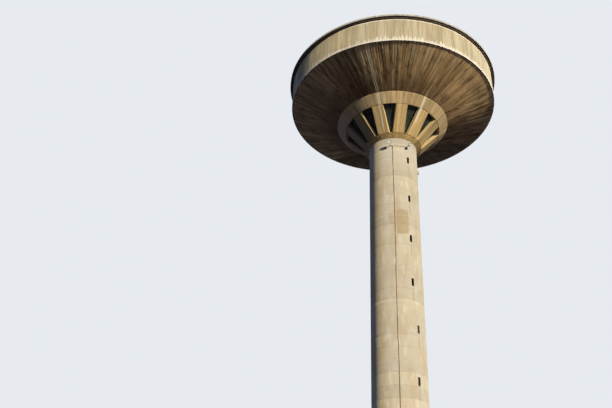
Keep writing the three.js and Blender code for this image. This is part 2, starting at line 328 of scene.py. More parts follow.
shaftLook = {
    "sand": tone(218, 209, 190), "warm": tone(212, 197, 172), "pale": tone(230, 224, 208),
    "grime": tone(128, 118, 100), "repair": tone(196, 175, 138), "revealShade": tone(128, 104, 74),
    "paintedWarmTint": (1.0, 0.92, 0.78, 1), "pour": 1.02, "pourStart": 0.30, "bandTint": 0.11,
    "patchAzimuths": (-37.5, -7.0), "patchHeights": (32.95, 35.45),
    "tailAzimuths": (-54.0, -37.0), "tailHeights": (34.0, 35.0),
    "stainAzimuths": (-62.0, -54.0), "stainHeights": (42.15, 42.45),
    "paleHead": (39.0, 42.0), "dirtyHead": (42.75, 43.35), "splash": (2.3, 0.8),
    "haloAzimuth": 5.5, "haloHeight": 0.65, "runAzimuth": 1.8, "runLow": 1.6, "sill": 0.34,
    "skin": (0.92, 0.25, 1.0), "zones": {"paintedShadeRight": (-0.2, -30.0, 35.0), "paintedWarmTint": (1.0, -100.0, -68.0, 10.0)},
    "along": "height",
    "patterns": {
        "broad": (2.2, 0.3, 0.0, 5.0, 0.55),
        "clouds": (5.0, 0.8, 7.0, 6.0, 0.6),
        "broken": (4.0, 0.6, 2.0, 4.0, 0.5, 0.46, 0.68),
        "streak": (26.0, 0.1, 11.0, 5.0, 0.6),
    },
}


def shaftConcrete():
    look = shaftLook
    f = concrete("shaft_concrete", look)
    f.base(f.level(f.pattern("broad"), 0.42, 0.66), "sand", "warm")
    clouds = f.pattern("clouds")
    f.coat("pale", f.level(clouds, 0.5, 0.75))
    # each pour has its own tone and a joint that shows as a thin broken line
    wave = f.scaled(f.stripes(3.0, f.height, 0.1, 4.0), 0.06, f.height)
    pour = f.math("DIVIDE", f.less(wave, look["pourStart"]), look["pour"])
    own = f.put("TexWhiteNoise", out="Value", noise_dimensions="1D").node
    f.feed(own.inputs["W"], f.math("FLOOR", pour))
    tint = f.scaled(own.outputs["Value"], look["bandTint"], 1 - look["bandTint"] / 2)
    joint = f.math("ABSOLUTE", f.less(f.math("FRACT", pour), 0.5))
    line = f.times(f.level(joint, 0.455, 0.495), f.pattern("broken"))
    f.dim(tint)
    f.coat("grime", line, 0.3)
    # rain streaks, faint and long
    streak = f.pattern("streak")
    f.dim(f.scaled(streak, 0.09, 0.955))
    # the cement repair, with ragged edges
    ragged = f.less(f.noise(f.place, scale=1.4, detail=6.0, roughness=0.65), 0.5)
    side = f.scaled(ragged, 11.0, f.azimuth)
    rise = f.scaled(ragged, 0.6, f.height)
    reaches = []
    for value, (least, most) in ((side, look["patchAzimuths"]), (rise, look["patchHeights"])):
        share = f.math("DIVIDE", f.less(value, (least + most) / 2), (most - least) / 2)
        reaches.append(f.math("POWER", f.math("ABSOLUTE", share), 5.0))
    fray = f.scaled(f.noise(f.place, scale=7.0, detail=4.0), 0.9, f.math("ADD", *reaches))
    patch = f.level(fray, 1.75, 1.05)
    tail = f.times(f.between(side, *look["tailAzimuths"], 2.5), f.between(rise, *look["tailHeights"], 0.25))
    patch = f.math("MAXIMUM", patch, f.times(tail, 0.55))
    f.coat("repair", patch, f.scaled(f.cloud(0.25, 0.75, 3.0, 5.0), 0.14, 0.62))
    # made-good concrete round each slot, and the dirt that runs from its sill
    for azimuth, height in slotPlaces():
        height /= metre
        halo = f.times(f.between(side, azimuth - look["haloAzimuth"], azimuth + look["haloAzimuth"], 2.0),
                       f.between(rise, height - look["haloHeight"], height + look["haloHeight"], 0.35))
        f.coat("pale", halo, 0.35)
        below = f.between(f.height, height - look["runLow"], height - look["sill"], 0.1)
        run = f.sector(azimuth - look["runAzimuth"], azimuth + look["runAzimuth"], 0.8)
        f.coat("grime", run, below, streak, 0.4)
    # a paler head, with a dirty rim under the collar
    f.coat("pale", f.level(f.height, *look["paleHead"]), 0.45)
    f.coat("grime", f.level(f.scaled(streak, 0.8, f.height), *look["dirtyHead"]), 0.2)
    # a small brown stain beside the left lamp
    spot = f.between(side, *look["stainAzimuths"], 2.0)
    f.coat("grime", spot, f.between(rise, *look["stainHeights"], 0.1), 0.45)
    # splashed foot
    f.coat("grime", f.level(f.scaled(clouds, 1.6, f.height), *look["splash"]), 0.35)
    # painted shade: duller towards the right, where the sun falls most directly
    f.dim(f.zones(1.0, "paintedShadeRight"))
    # a warm tint painted where the light grazes the far left, and the slots' reveals painted darker brown as
    # painted shade
    f.tint("paintedWarmTint", f.zones(0.0, "paintedWarmTint"))
    inside = f.level(f.radius, shaftRadius / metre - 0.02, shaftRadius / metre - 0.07)
    f.coat("revealShade", inside)
    relief = f.less(grain(f), f.times(line, 0.5))
    return f.done(relief, 0.001)


crownLook = {
    "gold": tone(241, 216, 168), "brown": tone(206, 178, 129), "grey": tone(176, 160, 134),
    "dark": tone(92, 74, 48), "lime": tone(252, 244, 222), "paleSide": tone(240, 212, 158),
    "seam": tone(120, 92, 54), "paintedShadeGrey": tone(214, 186, 168), "amber": (0.98, 0.97, 0.87, 1),
    "rusty": (1.04, 0.99, 0.86, 1),
    "skin": (0.9, 0.25, 1.0), "along": "radius",
    "zones": {
        "ringLeft": (0.22, -58.0, -22.0, 14.0), "ringRight": (-0.04, 28.0, 50.0),
        "strutsRight": (-0.38, 18.0, 22.0), "strutShadeLeft": (-0.1, -48.0, -66.0),
        "strutShadeFarLeft": (-0.08, -74.0, -82.0), "shadyLeft": (0.55, -92.0, -104.0),
        "shadyRight": (0.55, 95.0, 110.0), "dampAndShade": (1.0, -94.0, -100.0), "seams": (1.0, 10.0, 20.0),
        "paintedFootShade": (1.0, -72.0, -80.0),
    },
    "patterns": {
        "boards": (34.0, 0.1, 0.0, 2.0, 0.5),
        "fibres": (150.0, 0.5, 5.0, 6.0, 0.7),
        "stain": (8.0, 0.7, 9.0, 5.0, 0.6),
        "coarse": (52.0, 0.9, 12.0, 3.0, 0.65),
        "thin": (90.0, 0.3, 2.0, 4.0, 0.5, 0.58, 0.72),
    },
}


def crownConcrete():
    f = concrete("crown_concrete", crownLook)
    boards, fibres, stain = f.patterns("boards", "fibres", "stain")
    f.base(f.level(boards, 0.3, 0.7), "gold", "brown")
    f.coat("grey", f.level(stain, 0.5, 0.72), 0.4)
    f.dim(f.scaled(fibres, 1.4, 0.32))
    f.dim(f.scaled(f.pattern("coarse"), 1.1, 0.47))
    f.coat("dark", f.pattern("thin"), 0.45)
    # painted light: the ring is brightest left of the front and a little dimmer to the right; the struts are
    # darker on the right, and darker again on the left and far left as painted shade
    onRing = f.level(f.radius, crownHead[0] / metre - 0.02, crownHead[0] / metre + 0.03)
    paintedRingLight = f.zones(0.82, "ringLeft", "ringRight")
    strutDirtAndShade = f.zones(1.0, "strutsRight", "strutShadeLeft", "strutShadeFarLeft")
    below = f.less(1.0, onRing)
    f.dim(f.math("ADD", f.times(onRing, paintedRingLight), f.times(below, strutDirtAndShade)))
    f.tint("amber", below)
    # painted shade: a grey tone over the shaded far left and far right
    f.coat("paintedShadeGrey", f.zones(0.0, "shadyLeft", "shadyRight"))
    # the struts' side faces are paler, and dark as painted shade on the far left, with a brown seam on the
    # front beside the left arris
    sides = f.times(f.level(f.outward(), 0.45, 0.25), below)
    f.coat(f.mix(f.zones(0.0, "dampAndShade"), "paleSide", "dark"), sides, 0.75)
    turn = f.math("ADD", f.azimuth, 375 - azimuthOf(strutNodes[0]))
    turn = f.less(f.math("MODULO", turn, 30.0), 15.0)
    across = f.times(f.radius, f.math("SINE", f.times(turn, pi / 180)))
    left = -strutHalf / metre
    seam = f.times(f.between(across, left + 0.05, left + 0.13, 0.03), f.level(fibres, 0.35, 0.6),
                   f.zones(0.0, "seams"))
    seam = f.times(seam, below, f.less(1.0, sides))
    f.coat("seam", seam, 0.75)
    # the collar under the struts holds the most dirt, and shows a joint at their feet
    sill = crownFoot[1] / metre
    mottle = f.cloud(0.38, 0.58, 4.5, roughness=0.7)
    collar = f.level(f.height, sill + 0.02, sill - 0.03)
    f.coat("dark", collar, mottle, 0.36)
    f.tint("rusty", collar)
    # painted shade: the struts on the far left are darker above the sill
    paintedFootShade = f.times(f.zones(0.0, "paintedFootShade"), f.level(f.height, sill + 0.02, sill + 0.1), below)
    f.dim(f.scaled(paintedFootShade, -0.3, 1.0))
    f.coat("seam", f.between(f.height, sill - 0.03, sill + 0.03, 0.02), 0.55)
    f.coat("lime", limeMask(f))
    relief = f.scaled(fibres, 0.8, grain(f, 0.2))
    return f.done(relief, 0.0006)


coneLook = {
    "gold": tone(210, 178, 128), "brown": tone(154, 121, 80), "dark": tone(92, 66, 46),
    "tan": tone(226, 196, 140), "lime": tone(244, 230, 194), "sootAndShade": tone(50, 40, 34),
    "milky": tone(238, 216, 166), "paintedShadeGrey": tone(160, 134, 124),
    "skin": (0.93, 0.2, 1.0), "along": "radius",
    "zones": {
        "darkLeft": (-0.36, -78.0, -62.0, 6.0), "darkRight": (-0.54, -4.0, 20.0),
        "tan": (0.45, -32.0, 52.0, 12.0), "paintedSunlight": (0.1, -32.0, 44.0, 10.0),
        "mild": (1.0, 8.0, 42.0, 6.0), "rim": (1.0, -36.0, 44.0, 8.0), "shadeGreyLeft": (0.2, -74.0, -96.0),
        "coneShadeLeft": (0.3, -76.0, -56.0, 6.0), "coneShadeRight": (0.25, 42.0, 58.0),
        "coneShadeFarRight": (0.42, 72.0, 88.0), "coneShadeFarLeft": (0.2, -82.0, -94.0),
    },
    "patterns": {
        "sector": (5.0, 0.1, 0.0, 4.0, 0.55),
        "boards": (38.0, 0.06, 3.0, 3.0, 0.6),
        "fine": (120.0, 0.22, 6.0, 6.0, 0.7),
        "blotch": (14.0, 0.8, 30.0, 6.0, 0.65),
        "length": (26.0, 0.0, 14.0, 2.0, 0.5),
        "wide": (40.0, 0.07, 21.0, 2.0, 0.5, 0.5, 0.66),
        "black": (60.0, 0.08, 17.0, 5.0, 0.65, 0.55, 0.68),
        "thin": (66.0, 0.05, 8.0, 1.0, 0.5, 0.5, 0.59),
        "broken": (50.0, 1.4, 27.0, 4.0, 0.6, 0.3, 0.52),
    },
}


def coneConcrete():
    f = concrete("cone_concrete", coneLook)
    sector, boards, fine, blotch = f.patterns("sector", "boards", "fine", "blotch")
    patina = f.math("ADD", f.times(sector, 0.45), f.times(boards, 0.55))
    f.base(f.level(patina, 0.4, 0.6), "gold", "brown")
    f.coat("dark", f.level(blotch, 0.48, 0.66), 0.7)
    f.dim(f.scaled(fine, 1.2, 0.56))
    # darker towards the ring
    inner = f.less(1.0, f.level(f.scaled(sector, 2.4, f.radius), 6.3, 8.8))
    thick = f.zones(0.86, "darkRight", "darkLeft")
    f.coat("dark", inner, thick, f.scaled(f.level(f.radius, 6.4, 5.7), -0.28, 1.0))
    # streaks start at the rim and reach in by different lengths: soft tan ones, black ones, thin pale ones
    start = f.scaled(f.pattern("length"), -10.0, 13.0)
    reach = f.level(f.less(f.radius, start), 0.0, 1.3)
    f.coat("tan", f.pattern("wide"), reach, f.zones(0.25, "tan"))
    # painted light: brighter over the sunlit front and right, both inside and near the rim
    mild = f.times(f.zones(0.0, "mild"), f.level(f.radius, 8.9, 7.9))
    rim = f.times(f.zones(0.0, "rim"), f.level(f.radius, 8.9, 9.5))
    f.dim(f.scaled(rim, 0.22, f.scaled(mild, 0.22, f.zones(1.0, "paintedSunlight"))))
    f.coat("sootAndShade", f.pattern("black"), 0.7)
    f.coat("milky", *f.patterns("thin", "broken"), reach, 0.86)
    # painted shade: a grey tone on the far left, and darkening away from the front on both sides
    f.coat("paintedShadeGrey", f.zones(0.0, "shadeGreyLeft"))
    f.coat("sootAndShade", f.zones(0.0, "coneShadeLeft", "coneShadeRight", "coneShadeFarRight", "coneShadeFarLeft"))
    f.coat("lime", limeMask(f))
    relief = f.scaled(fine, 0.8, grain(f, 0.2))
    return f.done(relief, 0.0012)


bandLook = {
    "tan": tone(209, 194, 162), "pale": tone(226, 217, 191), "brown": tone(180, 156, 114),
    "grey": tone(172, 166, 150), "lime": tone(254, 250, 240), "ledge": tone(112, 88, 66),
    "paintedWarmTint": (0.96, 0.92, 0.83, 1), "crackHeight": 48.70,
    "skin": (0.9, 0.25, 1.0), "along": "height",
    "zones": {
        "paintedWarmTint": (1.0, -102.0, -56.0, 8.0), "limeRight": (0.22, -64.0, -40.0),
        "limeTop": (0.7, -62.0, 45.0, 12.0), "crack": (0.8, -70.0, -63.5, 0.5),
    },
    "patterns": {
        "wide": (16.0, 0.12, 0.0, 3.0, 0.55),
        "narrow": (60.0, 0.2, 5.0, 5.0, 0.6),
        "fibres": (260.0, 0.8, 2.0, 4.0, 0.6),
        "grey": (7.0, 0.3, 9.0, 4.0, 0.5, 0.5, 0.66),
        "teeth": (72.0, 0.0, 13.0, 4.0, 0.7),
        "waver": (30.0, 0.0, 31.0, 5.0, 0.7),
    },
}


def bandConcrete():
    look = bandLook
    f = concrete("band_concrete", look)
    low, high = (corner[2] for corner in boxOf("tank_band"))
    wide, narrow, fibres = f.patterns("wide", "narrow", "fibres")
    f.base(f.level(wide, 0.4, 0.6), "tan", "pale")
    f.coat("brown", f.level(narrow, 0.5, 0.66), 0.55)
    f.coat("grey", f.pattern("grey"), 0.4)
    f.dim(f.scaled(fibres, 0.22, 0.89))
    # a warm tint painted where the light grazes the far left
    f.tint("paintedWarmTint", f.zones(0.0, "paintedWarmTint"))
    # lime along the bottom edge, in teeth of uneven height
    teeth = f.pattern("teeth")
    tooth = f.scaled(f.level(teeth, 0.4, 0.72), 0.62, low + 0.13)
    lime = f.level(f.less(f.height, tooth), 0.14, -0.1)
    f.coat("lime", lime, f.zones(0.62, "limeRight"))
    # painted shade under the cornice, and a thin lime line under it
    dampAndShade = f.level(f.scaled(narrow, 0.5, f.height), high - 0.15, high + 0.28)
    f.coat("brown", dampAndShade, 0.15)
    f.coat("lime", f.between(f.height, high - 0.13, high - 0.03, 0.03), f.zones(0.0, "limeTop"))
    # a thin crack
    path = f.scaled(f.less(f.pattern("waver"), 0.5), 0.55, look["crackHeight"])
    off = f.math("ABSOLUTE", f.less(f.height, path))
    f.coat("ledge", f.level(off, 0.035, 0.012), f.zones(0.0, "crack"))
    # the ledge under the band is dark, as dirt and as painted shade, with lime where water drips off the
    # edge
    under = f.level(f.height, low + 0.012, low + 0.004)
    f.coat("ledge", under, f.less(1.0, f.level(teeth, 0.5, 0.62)))
    relief = f.scaled(fibres, 0.6, grain(f, 0.25))
    return f.done(relief, 0.001)


edgeLook = {
    "grey": tone(196, 191, 180), "pale": tone(216, 211, 201), "soffit": tone(104, 80, 62),
    "dark": tone(66, 50, 40),
    "skin": (0.85, 0.3, 0.8), "along": "height",
    "patterns": {
        "patch": (30.0, 0.5, 0.0, 5.0, 0.6),
        "runs": (90.0, 0.2, 4.0, 4.0, 0.5, 0.52, 0.66),
    },
}


def edgeConcrete():
    f = concrete("edge_concrete", edgeLook)
    low = boxOf("cornice")[0][2]
    patch = f.pattern("patch")
    f.base(f.level(patch, 0.4, 0.62), "grey", "pale")
    f.coat("soffit", f.pattern("runs"), 0.35)
    # the soffit is dark, as stain and as painted shade, and both its edges are darker still as painted shade
    under = f.times(f.level(f.outward(), 0.90, 0.70), f.level(f.height, low + 0.22, low + 0.16))
    f.coat(f.mix(f.level(patch, 0.42, 0.6), "soffit", "dark"), under)
    shadedEdges = f.math("ADD", f.level(f.radius, 10.05, 10.01), f.level(f.radius, 10.22, 10.27))
    f.coat("dark", shadedEdges, under, 0.7)
    return f.done(grain(f), 0.0008)


roofLook = {
    "felt": tone(150, 147, 140), "worn": tone(176, 172, 163), "moss": tone(112, 112, 88),
    "skin": (0.9, 0.25, 0.8), "along": "radius",
    "patterns": {
        "runs": (40.0, 0.3, 0.0, 4.0, 0.5),
    },
}


def roofConcrete():
    f = concrete("roof_screed", roofLook)
    f.base(f.cloud(0.4, 0.62, 0.5, roughness=0.6), "felt", "worn")
    f.dim(f.scaled(f.pattern("runs"), 0.3, 0.85))
    f.coat("moss", f.cloud(0.55, 0.7, 1.6, roughness=0.7), f.level(f.radius, 7.0, 9.3), 0.5)
    return f.done(grain(f), 0.0008)


innerLook = {
    "grey": tone(150, 145, 134), "dark": tone(112, 106, 96),
    "skin": (0.92, 0.2, 0.8), "along": "height",
    "patterns": {
        "dampAndShade": (9.0, 0.4, 0.0, 4.0, 0.5),
    },
}


def innerConcrete():
    f = concrete("inner_concrete", innerLook)
    f.base(f.cloud(0.38, 0.64, 1.1, roughness=0.6), "grey", "dark")
    f.dim(f.scaled(f.pattern("dampAndShade"), 0.3, 0.85))
    return f.done(grain(f), 0.0008)


# glass and painted metal

glassLook = {
    "clear": tone(48, 56, 50), "dusty": tone(100, 112, 96), "sill": 43.9, "middle": 45.4,
    "zones": {"shadedPane": (-0.55, -86.0, -58.0, 2.0)},
    "lamp": tone(250, 250, 246), "lampDusty": tone(214, 210, 198),
}


def windowGlass():
    look = glassLook
    f = Finish("window_glass", look, Roughness=0.16, IOR=1.5, Transmission_Weight=0.35)
    dust = f.stripes(30.0, f.height, 0.9, detail=6.0, roughness=0.6)
    lower = f.level(f.height, look["middle"], look["sill"])
    dust = f.times(f.level(dust, 0.35, 0.7), f.scaled(lower, 0.5, 0.5))
    f.base(dust, "clear", "dusty")
    # painted shade: the pane between -86 and -58 degrees is darker
    f.dim(f.zones(1.0, "shadedPane"))
    return f.done(f.noise(f.place, scale=1.5), 0.0004, f.scaled(dust, 0.35, 0.12))


def lampGlass():
    f = Finish("lamp_glass", glassLook, Roughness=0.1, IOR=1.5, Transmission_Weight=0.05)
    dust = f.cloud(0.4, 0.7, 20.0, 5.0)
    # the near-white glass is partly a painted glint of the sunlit lens
    f.base(dust, "lamp", "lampDusty")
    return f.done(dust, 0.0001)


metalLook = {  # name, paint, worn paint, metallic, roughness, dirt
    "steel": ("window_steel", tone(58, 58, 52), tone(84, 82, 72), 0.2, 0.6, 0.7),
    "lamp": ("lamp_paint", tone(214, 216, 210), tone(196, 197, 190), 0.0, 0.5, 0.3),
    "cable": ("conduit_paint", tone(124, 109, 88), tone(150, 134, 110), 0.0, 0.6, 0.4),
    "pale": ("pale_paint", tone(214, 208, 192), tone(190, 184, 168), 0.1, 0.5, 0.3),
    "zinc": ("vent_zinc", tone(158, 162, 164), tone(132, 136, 138), 0.7, 0.45, 0.2),
    "door": ("door_paint", tone(106, 112, 102), tone(126, 130, 118), 0.1, 0.5, 0.5),
    "bolt": ("bolt_steel", tone(96, 92, 86), tone(124, 118, 108), 0.8, 0.45, 0.6),
}
rustTone = tone(120, 74, 44)


def paintedMetal(name, main, worn, metallic, roughness, dirt):
    f = Finish(name, Metallic=metallic, Specular_IOR_Level=0.4)
    cloud = f.noise(f.place, scale=6.0, detail=6.0, roughness=0.6)
    f.base(f.level(cloud, 0.38, 0.64), main, worn)
    f.coat(rustTone, f.cloud(0.6, 0.7, 22.0, roughness=0.7), dirt)
    f.dim(f.scaled(f.stripes(60.0, f.height, 1.2, detail=5.0), 0.35, 0.82))
    skin = f.noise(f.place, scale=40.0, detail=4.0)
    return f.done(skin, 0.0002, f.scaled(cloud, 0.3, roughness - 0.15))


finishes = {
    "shaft": shaftConcrete(), "crown": crownConcrete(), "cone": coneConcrete(),
    "band": bandConcrete(), "edge": edgeConcrete(), "roof": roofConcrete(),
    "inner": innerConcrete(), "glass": windowGlass(), "lampGlass": lampGlass(),
}
for coat, values in metalLook.items():
    finishes[coat] = paintedMetal(*values)
print("materials made:", len(finishes))


# meshes

def newPiece(name, mesh, coats, nodes=(), sharp=35):
    for coat in coats:
        mesh.materials.append(finishes[coat])
    mesh.shade_smooth()
    mesh.set_sharp_from_angle(angle=radians(sharp))
    piece = bpy.data.objects.new(name, mesh)
    bpy.context.scene.collection.objects.link(piece)
    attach(piece, "root")
    if nodes:
        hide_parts(*nodes)
    return piece


def meshOf(name, points, faces):
    # a closed mesh with its faces pointing out
    mesh = bpy.data.meshes.new(name)
    mesh.from_pydata(np.asarray(points).reshape(-1, 3).tolist(), [], [list(face) for face in faces])
    mesh.update()
    mesh.calc_loop_triangles()
    corners = np.zeros(len(mesh.loop_triangles) * 3, int)
    mesh.loop_triangles.foreach_get("vertices", corners)
    spots = np.zeros(len(mesh.vertices) * 3)
    mesh.vertices.foreach_get("co", spots)
    a, b, c = (spots.reshape(-1, 3)[corners.reshape(-1, 3)[:, k]] for k in range(3))
    if np.einsum("ij,ij->", a, np.cross(b, c)) < 0:
        mesh.flip_normals()
    return mesh


def gridFaces(columns, rows, closed):
    # quads between the points of a grid whose columns go all the way round; an open one gets two caps
    index = np.arange(columns * rows).reshape(columns, rows)
    last = rows if closed else rows - 1
    here, above = index[:, :last], np.roll(index, -1, 1)[:, :last]
    quads = np.stack((here, np.roll(here, -1, 0), np.roll(above, -1, 0), above), -1)
    caps = [] if closed else [index[::-1, 0].tolist(), index[:, -1].tolist()]
    return quads.reshape(-1, 4).tolist() + caps


def softened(corners, step, chamfer, closed=True):
    # divides a profile's sides and cuts its corners; gives the points, their normals and their sides
    points, normals, sides = [], [], []
    count = len(corners) if closed else len(corners) - 1
    for k in range(count):
        here, there = corners[k], corners[(k + 1) % len(corners)]
        length = np.linalg.norm(there - here)
        along = (there - here) / length
        start = here + along * (chamfer if closed or k > 0 else 0)
        end = there - along * (chamfer if closed or k < count - 1 else 0)
        for share in np.linspace(0, 1, 1 + max(1, ceil((length - 2 * chamfer) / step))):
            points.append(start + (end - start) * share)
            normals.append((along[1], -along[0]))
            sides.append(k)
    return np.array(points), np.array(normals), np.array(sides)


def turned(name, profile, angles, relief, coats, slotName, nodes, closed=True):
    # turns a profile about the tower's axis; relief moves each point along its normal
    points, normals, _ = profile
    radius = points[:, 0] + relief * normals[:, 0]
    height = points[:, 1] + relief * normals[:, 1]
    spread = np.broadcast_to(angles[:, None], radius.shape)
    grid = np.stack((radius * np.sin(spread), -radius * np.cos(spread), height), -1)
    return newPiece(name, meshOf(name, grid, gridFaces(*radius.shape, closed)), coats, nodes)


def boards(count, joint, depth, uneven, seed):
    # columns of a ring of boards: their angles, and how far each stands off the true surface
    rng = np.random.default_rng(seed)
    step = 2 * pi / count
    stand = rng.uniform(-uneven, 0, count)
    edges = np.arange(count) * step
    angles = np.column_stack((edges, edges + step * joint, edges + step * (1 - joint)))
    relief = np.column_stack((np.minimum(stand, np.roll(stand, 1)) - depth, stand, stand))
    return angles.ravel(), relief.ravel()


def plain(count, profile):
    # evenly spaced columns without relief
    return np.linspace(0, 2 * pi, count, endpoint=False), np.zeros((count, len(profile[0])))


def boardedRing(name, node, coat, corners, form, count, side, seed):
    # turns an outline, with board marks on one of its sides
    profile = softened(corners, form["step"], form["chamfer"])
    angles, relief = boards(count, form["joint"], form["jointDepth"], form["uneven"], seed)
    relief = np.outer(relief, profile[2] == side)
    turned(f"{name}_boarded", profile, angles, relief, [coat], f"{coat}_concrete", [node])


# shaft

shaftWall = {
    "columns": 288, "rowStep": 0.40 * metre, "pour": shaftLook["pour"] * metre,
    "pourStart": shaftLook["pourStart"] * metre, "joint": 0.018 * metre, "jointDepth": 0.004 * metre,
    "uneven": 0.004 * metre, "arris": 0.008 * metre, "clear": 0.022 * metre,
    "clearAngle": 0.7, "wave": 0.002 * metre, "arrisAngle": 60,
}


def holesOf(low, high):
    # (azimuth, width, bottom, top) of the slots and the doorway that fall within a lift
    holes = []
    for azimuth, height in slotPlaces():
        if low < height < high:
            half = slot["height"] / 2
            holes.append((radians(azimuth), slot["width"], height - half, height + half))
    frameLow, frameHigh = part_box("door_frame")
    if low < frameHigh.z < high:
        holes.append((0.0, frameHigh.x - frameLow.x + 2 * seatGap, low, frameHigh.z + seatGap))
    return holes


def spacedOut(regular, fixed, clear):
    # regular marks, with the fixed ones added and their close neighbours dropped
    fixed = sorted(fixed)
    kept = [m for m in regular if all(abs(m - f) > clear for f in fixed)]
    return np.array(sorted(kept + fixed))


def pierced(name, outer, inner, low, high):
    # a round wall with straight-sided holes; the inside has its own angles where a hole passes
    wall, clear = shaftWall, shaftWall["clear"]
    rng = np.random.default_rng(int(low * 1000))
    holes = holesOf(low, high)
    edges = [a + s * asin(w / 2 / outer) for a, w, _, _ in holes for s in (-1, 1)]
    inside = [a + s * asin(w / 2 / inner) for a, w, _, _ in holes for s in (-1, 1)]
    ring = np.linspace(-pi, pi, wall["columns"], endpoint=False)
    angles = spacedOut(ring, edges, radians(wall["clearAngle"]))
    innerAngles = np.array([dict(zip(edges, inside)).get(a, a) for a in angles])
    marks = [z for hole in holes for z in hole[2:] if low < z < high]
    joints = [z for z in np.arange(wall["pourStart"], high, wall["pour"]) if low + clear < z < high - clear]
    joints = [z for z in joints if all(abs(z - m) > 2 * clear for m in marks)]
    lines = [z + s * wall["joint"] for z in joints for s in (-1, 0, 1)]
    count = ceil((high - low) / wall["rowStep"])
    heights = spacedOut(np.linspace(low, high, count + 1)[1:-1], marks + lines + [low, high], clear)
    pourOf = np.searchsorted(joints, heights + 1e-6)
    stand = rng.uniform(-wall["uneven"], 0, len(joints) + 1)[pourOf]
    stand = stand - wall["jointDepth"] * np.isin(heights, joints)
    wave = wall["wave"] * (np.sin(3 * angles + low * 7)[:, None] - 1) / 2
    radius = outer + stand[None, :] + wave
    columns, rows = radius.shape

    def skin(radii, turns):
        return np.stack((radii * np.sin(turns)[:, None], -radii * np.cos(turns)[:, None],
                         np.broadcast_to(heights, radii.shape)), -1).reshape(-1, 3)

    points = np.concatenate((skin(radius, angles), skin(np.full_like(radius, inner), innerAngles)))
    midAngle = (angles + np.append(angles[1:], angles[0] + 2 * pi)) / 2
    midHeight = (heights[:-1] + heights[1:]) / 2
    solid = np.ones((columns, rows - 1), bool)
    for azimuth, width, bottom, top in holes:
        across = np.abs(midAngle - azimuth) < asin(width / 2 / outer)
        solid &= ~np.outer(across, (midHeight > bottom) & (midHeight < top))
    out = np.arange(columns * rows).reshape(columns, rows)
    back = out + columns * rows
    after = np.roll(out, -1, 0)
    afterBack = np.roll(back, -1, 0)
    faces = []

    def quads(where, a, b, c, d):
        faces.extend(np.stack((a[where], b[where], c[where], d[where]), -1).tolist())

    quads(solid, out[:, :-1], after[:, :-1], after[:, 1:], out[:, 1:])
    quads(solid, back[:, :-1], back[:, 1:], afterBack[:, 1:], afterBack[:, :-1])
    padded = np.pad(solid, ((0, 0), (1, 1)))
    below, above = padded[:, :-1], padded[:, 1:]
    quads(below & ~above, out, after, afterBack, back)
    quads(above & ~below, out, back, afterBack, after)
    left = np.roll(solid, 1, 0)
    quads(left & ~solid, out[:, :-1], back[:, :-1], back[:, 1:], out[:, 1:])
    quads(solid & ~left, out[:, :-1], out[:, 1:], back[:, 1:], back[:, :-1])
    used, faces = np.unique(np.array(faces), return_inverse=True)
    return meshOf(name, points[used], faces.reshape(-1, 4).tolist())


def makeShaft():
    for i in range(5):
        node = f"shaft_lift_{i + 1}"
        low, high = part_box(node)
        mesh = pierced(f"{node}_wall", shaftRadius, shaftInner, low.z, high.z)
        piece = newPiece(f"{node}_wall", mesh, ["shaft"], [node], sharp=30)
        arris = piece.modifiers.new("arris", "BEVEL")
        arris.width = shaftWall["arris"]
        arris.segments = 2
        arris.limit_method = "ANGLE"
        arris.angle_limit = radians(shaftWall["arrisAngle"])


slabForm = {
    "centre": 0.02 * metre, "step": 0.3 * metre, "chamfer": 0.012 * metre, "columns": 288,
}


def makeGroundSlab():
    form = slabForm
    corners = cornersOf("ground_floor")
    low, high, radius, centre = corners[:, 1].min(), corners[:, 1].max(), corners[:, 0].max(), form["centre"]
    outline = np.array(((centre, low), (radius, low), (radius, high), (centre, high)))
    profile = softened(outline, form["step"], form["chamfer"], closed=False)
    turned("ground_slab", profile, *plain(form["columns"], profile), ["inner"], "inner_concrete",
           ["ground_floor"], closed=False)


# crown

crownForm = {
    "collarBoards": 110, "ringBoards": 260, "joint": 0.07, "jointDepth": 0.010 * metre,
    "uneven": 0.006 * metre, "chamfer": 0.015 * metre, "step": 0.12 * metre,
    "faceBoards": 8, "sideBoards": 3, "strutRows": 24, "endChamfer": 0.020 * metre, "endShrink": 0.96,
}


def strutPoint(azimuth, along, depth, side):
    # along the crown's slope from the sill, in from its face, and sideways; the faces are flat
    radius, height = crownFoot + crownAlong * along + crownInward * depth
    middle = (radius ** 2 - strutHalf ** 2) ** 0.5
    turn = radians(azimuth)
    return middle * sin(turn) + side * cos(turn), side * sin(turn) - middle * cos(turn), height


def boardedSide(length, count, form, rng):
    # (place along, how far in) for one face of a strut, with a groove at each joint
    width = length / count
    marks = []
    for k in range(count):
        inset = rng.uniform(0, form["uneven"])
        if k:
            marks.append((k * width, max(inset, marks[-1][1]) + form["jointDepth"]))
        start = form["chamfer"] if k == 0 else k * width + form["joint"] * width
        end = length - form["chamfer"] if k == count - 1 else (k + 1 - form["joint"]) * width
        marks += [(start, inset), (end, inset)]
    return marks


def strutSection(form, rng):
    # (sideways, depth) round a strut, from its left front edge
    half, depth = strutHalf, crownDepth
    section = [(-half + a, inset) for a, inset in boardedSide(2 * half, form["faceBoards"], form, rng)]
    section += [(half - inset, a) for a, inset in boardedSide(depth, form["sideBoards"], form, rng)]
    section += [(half - form["chamfer"], depth), (-half + form["chamfer"], depth)]
    section += [(-half + inset, depth - a) for a, inset in boardedSide(depth, form["sideBoards"], form, rng)]
    return section


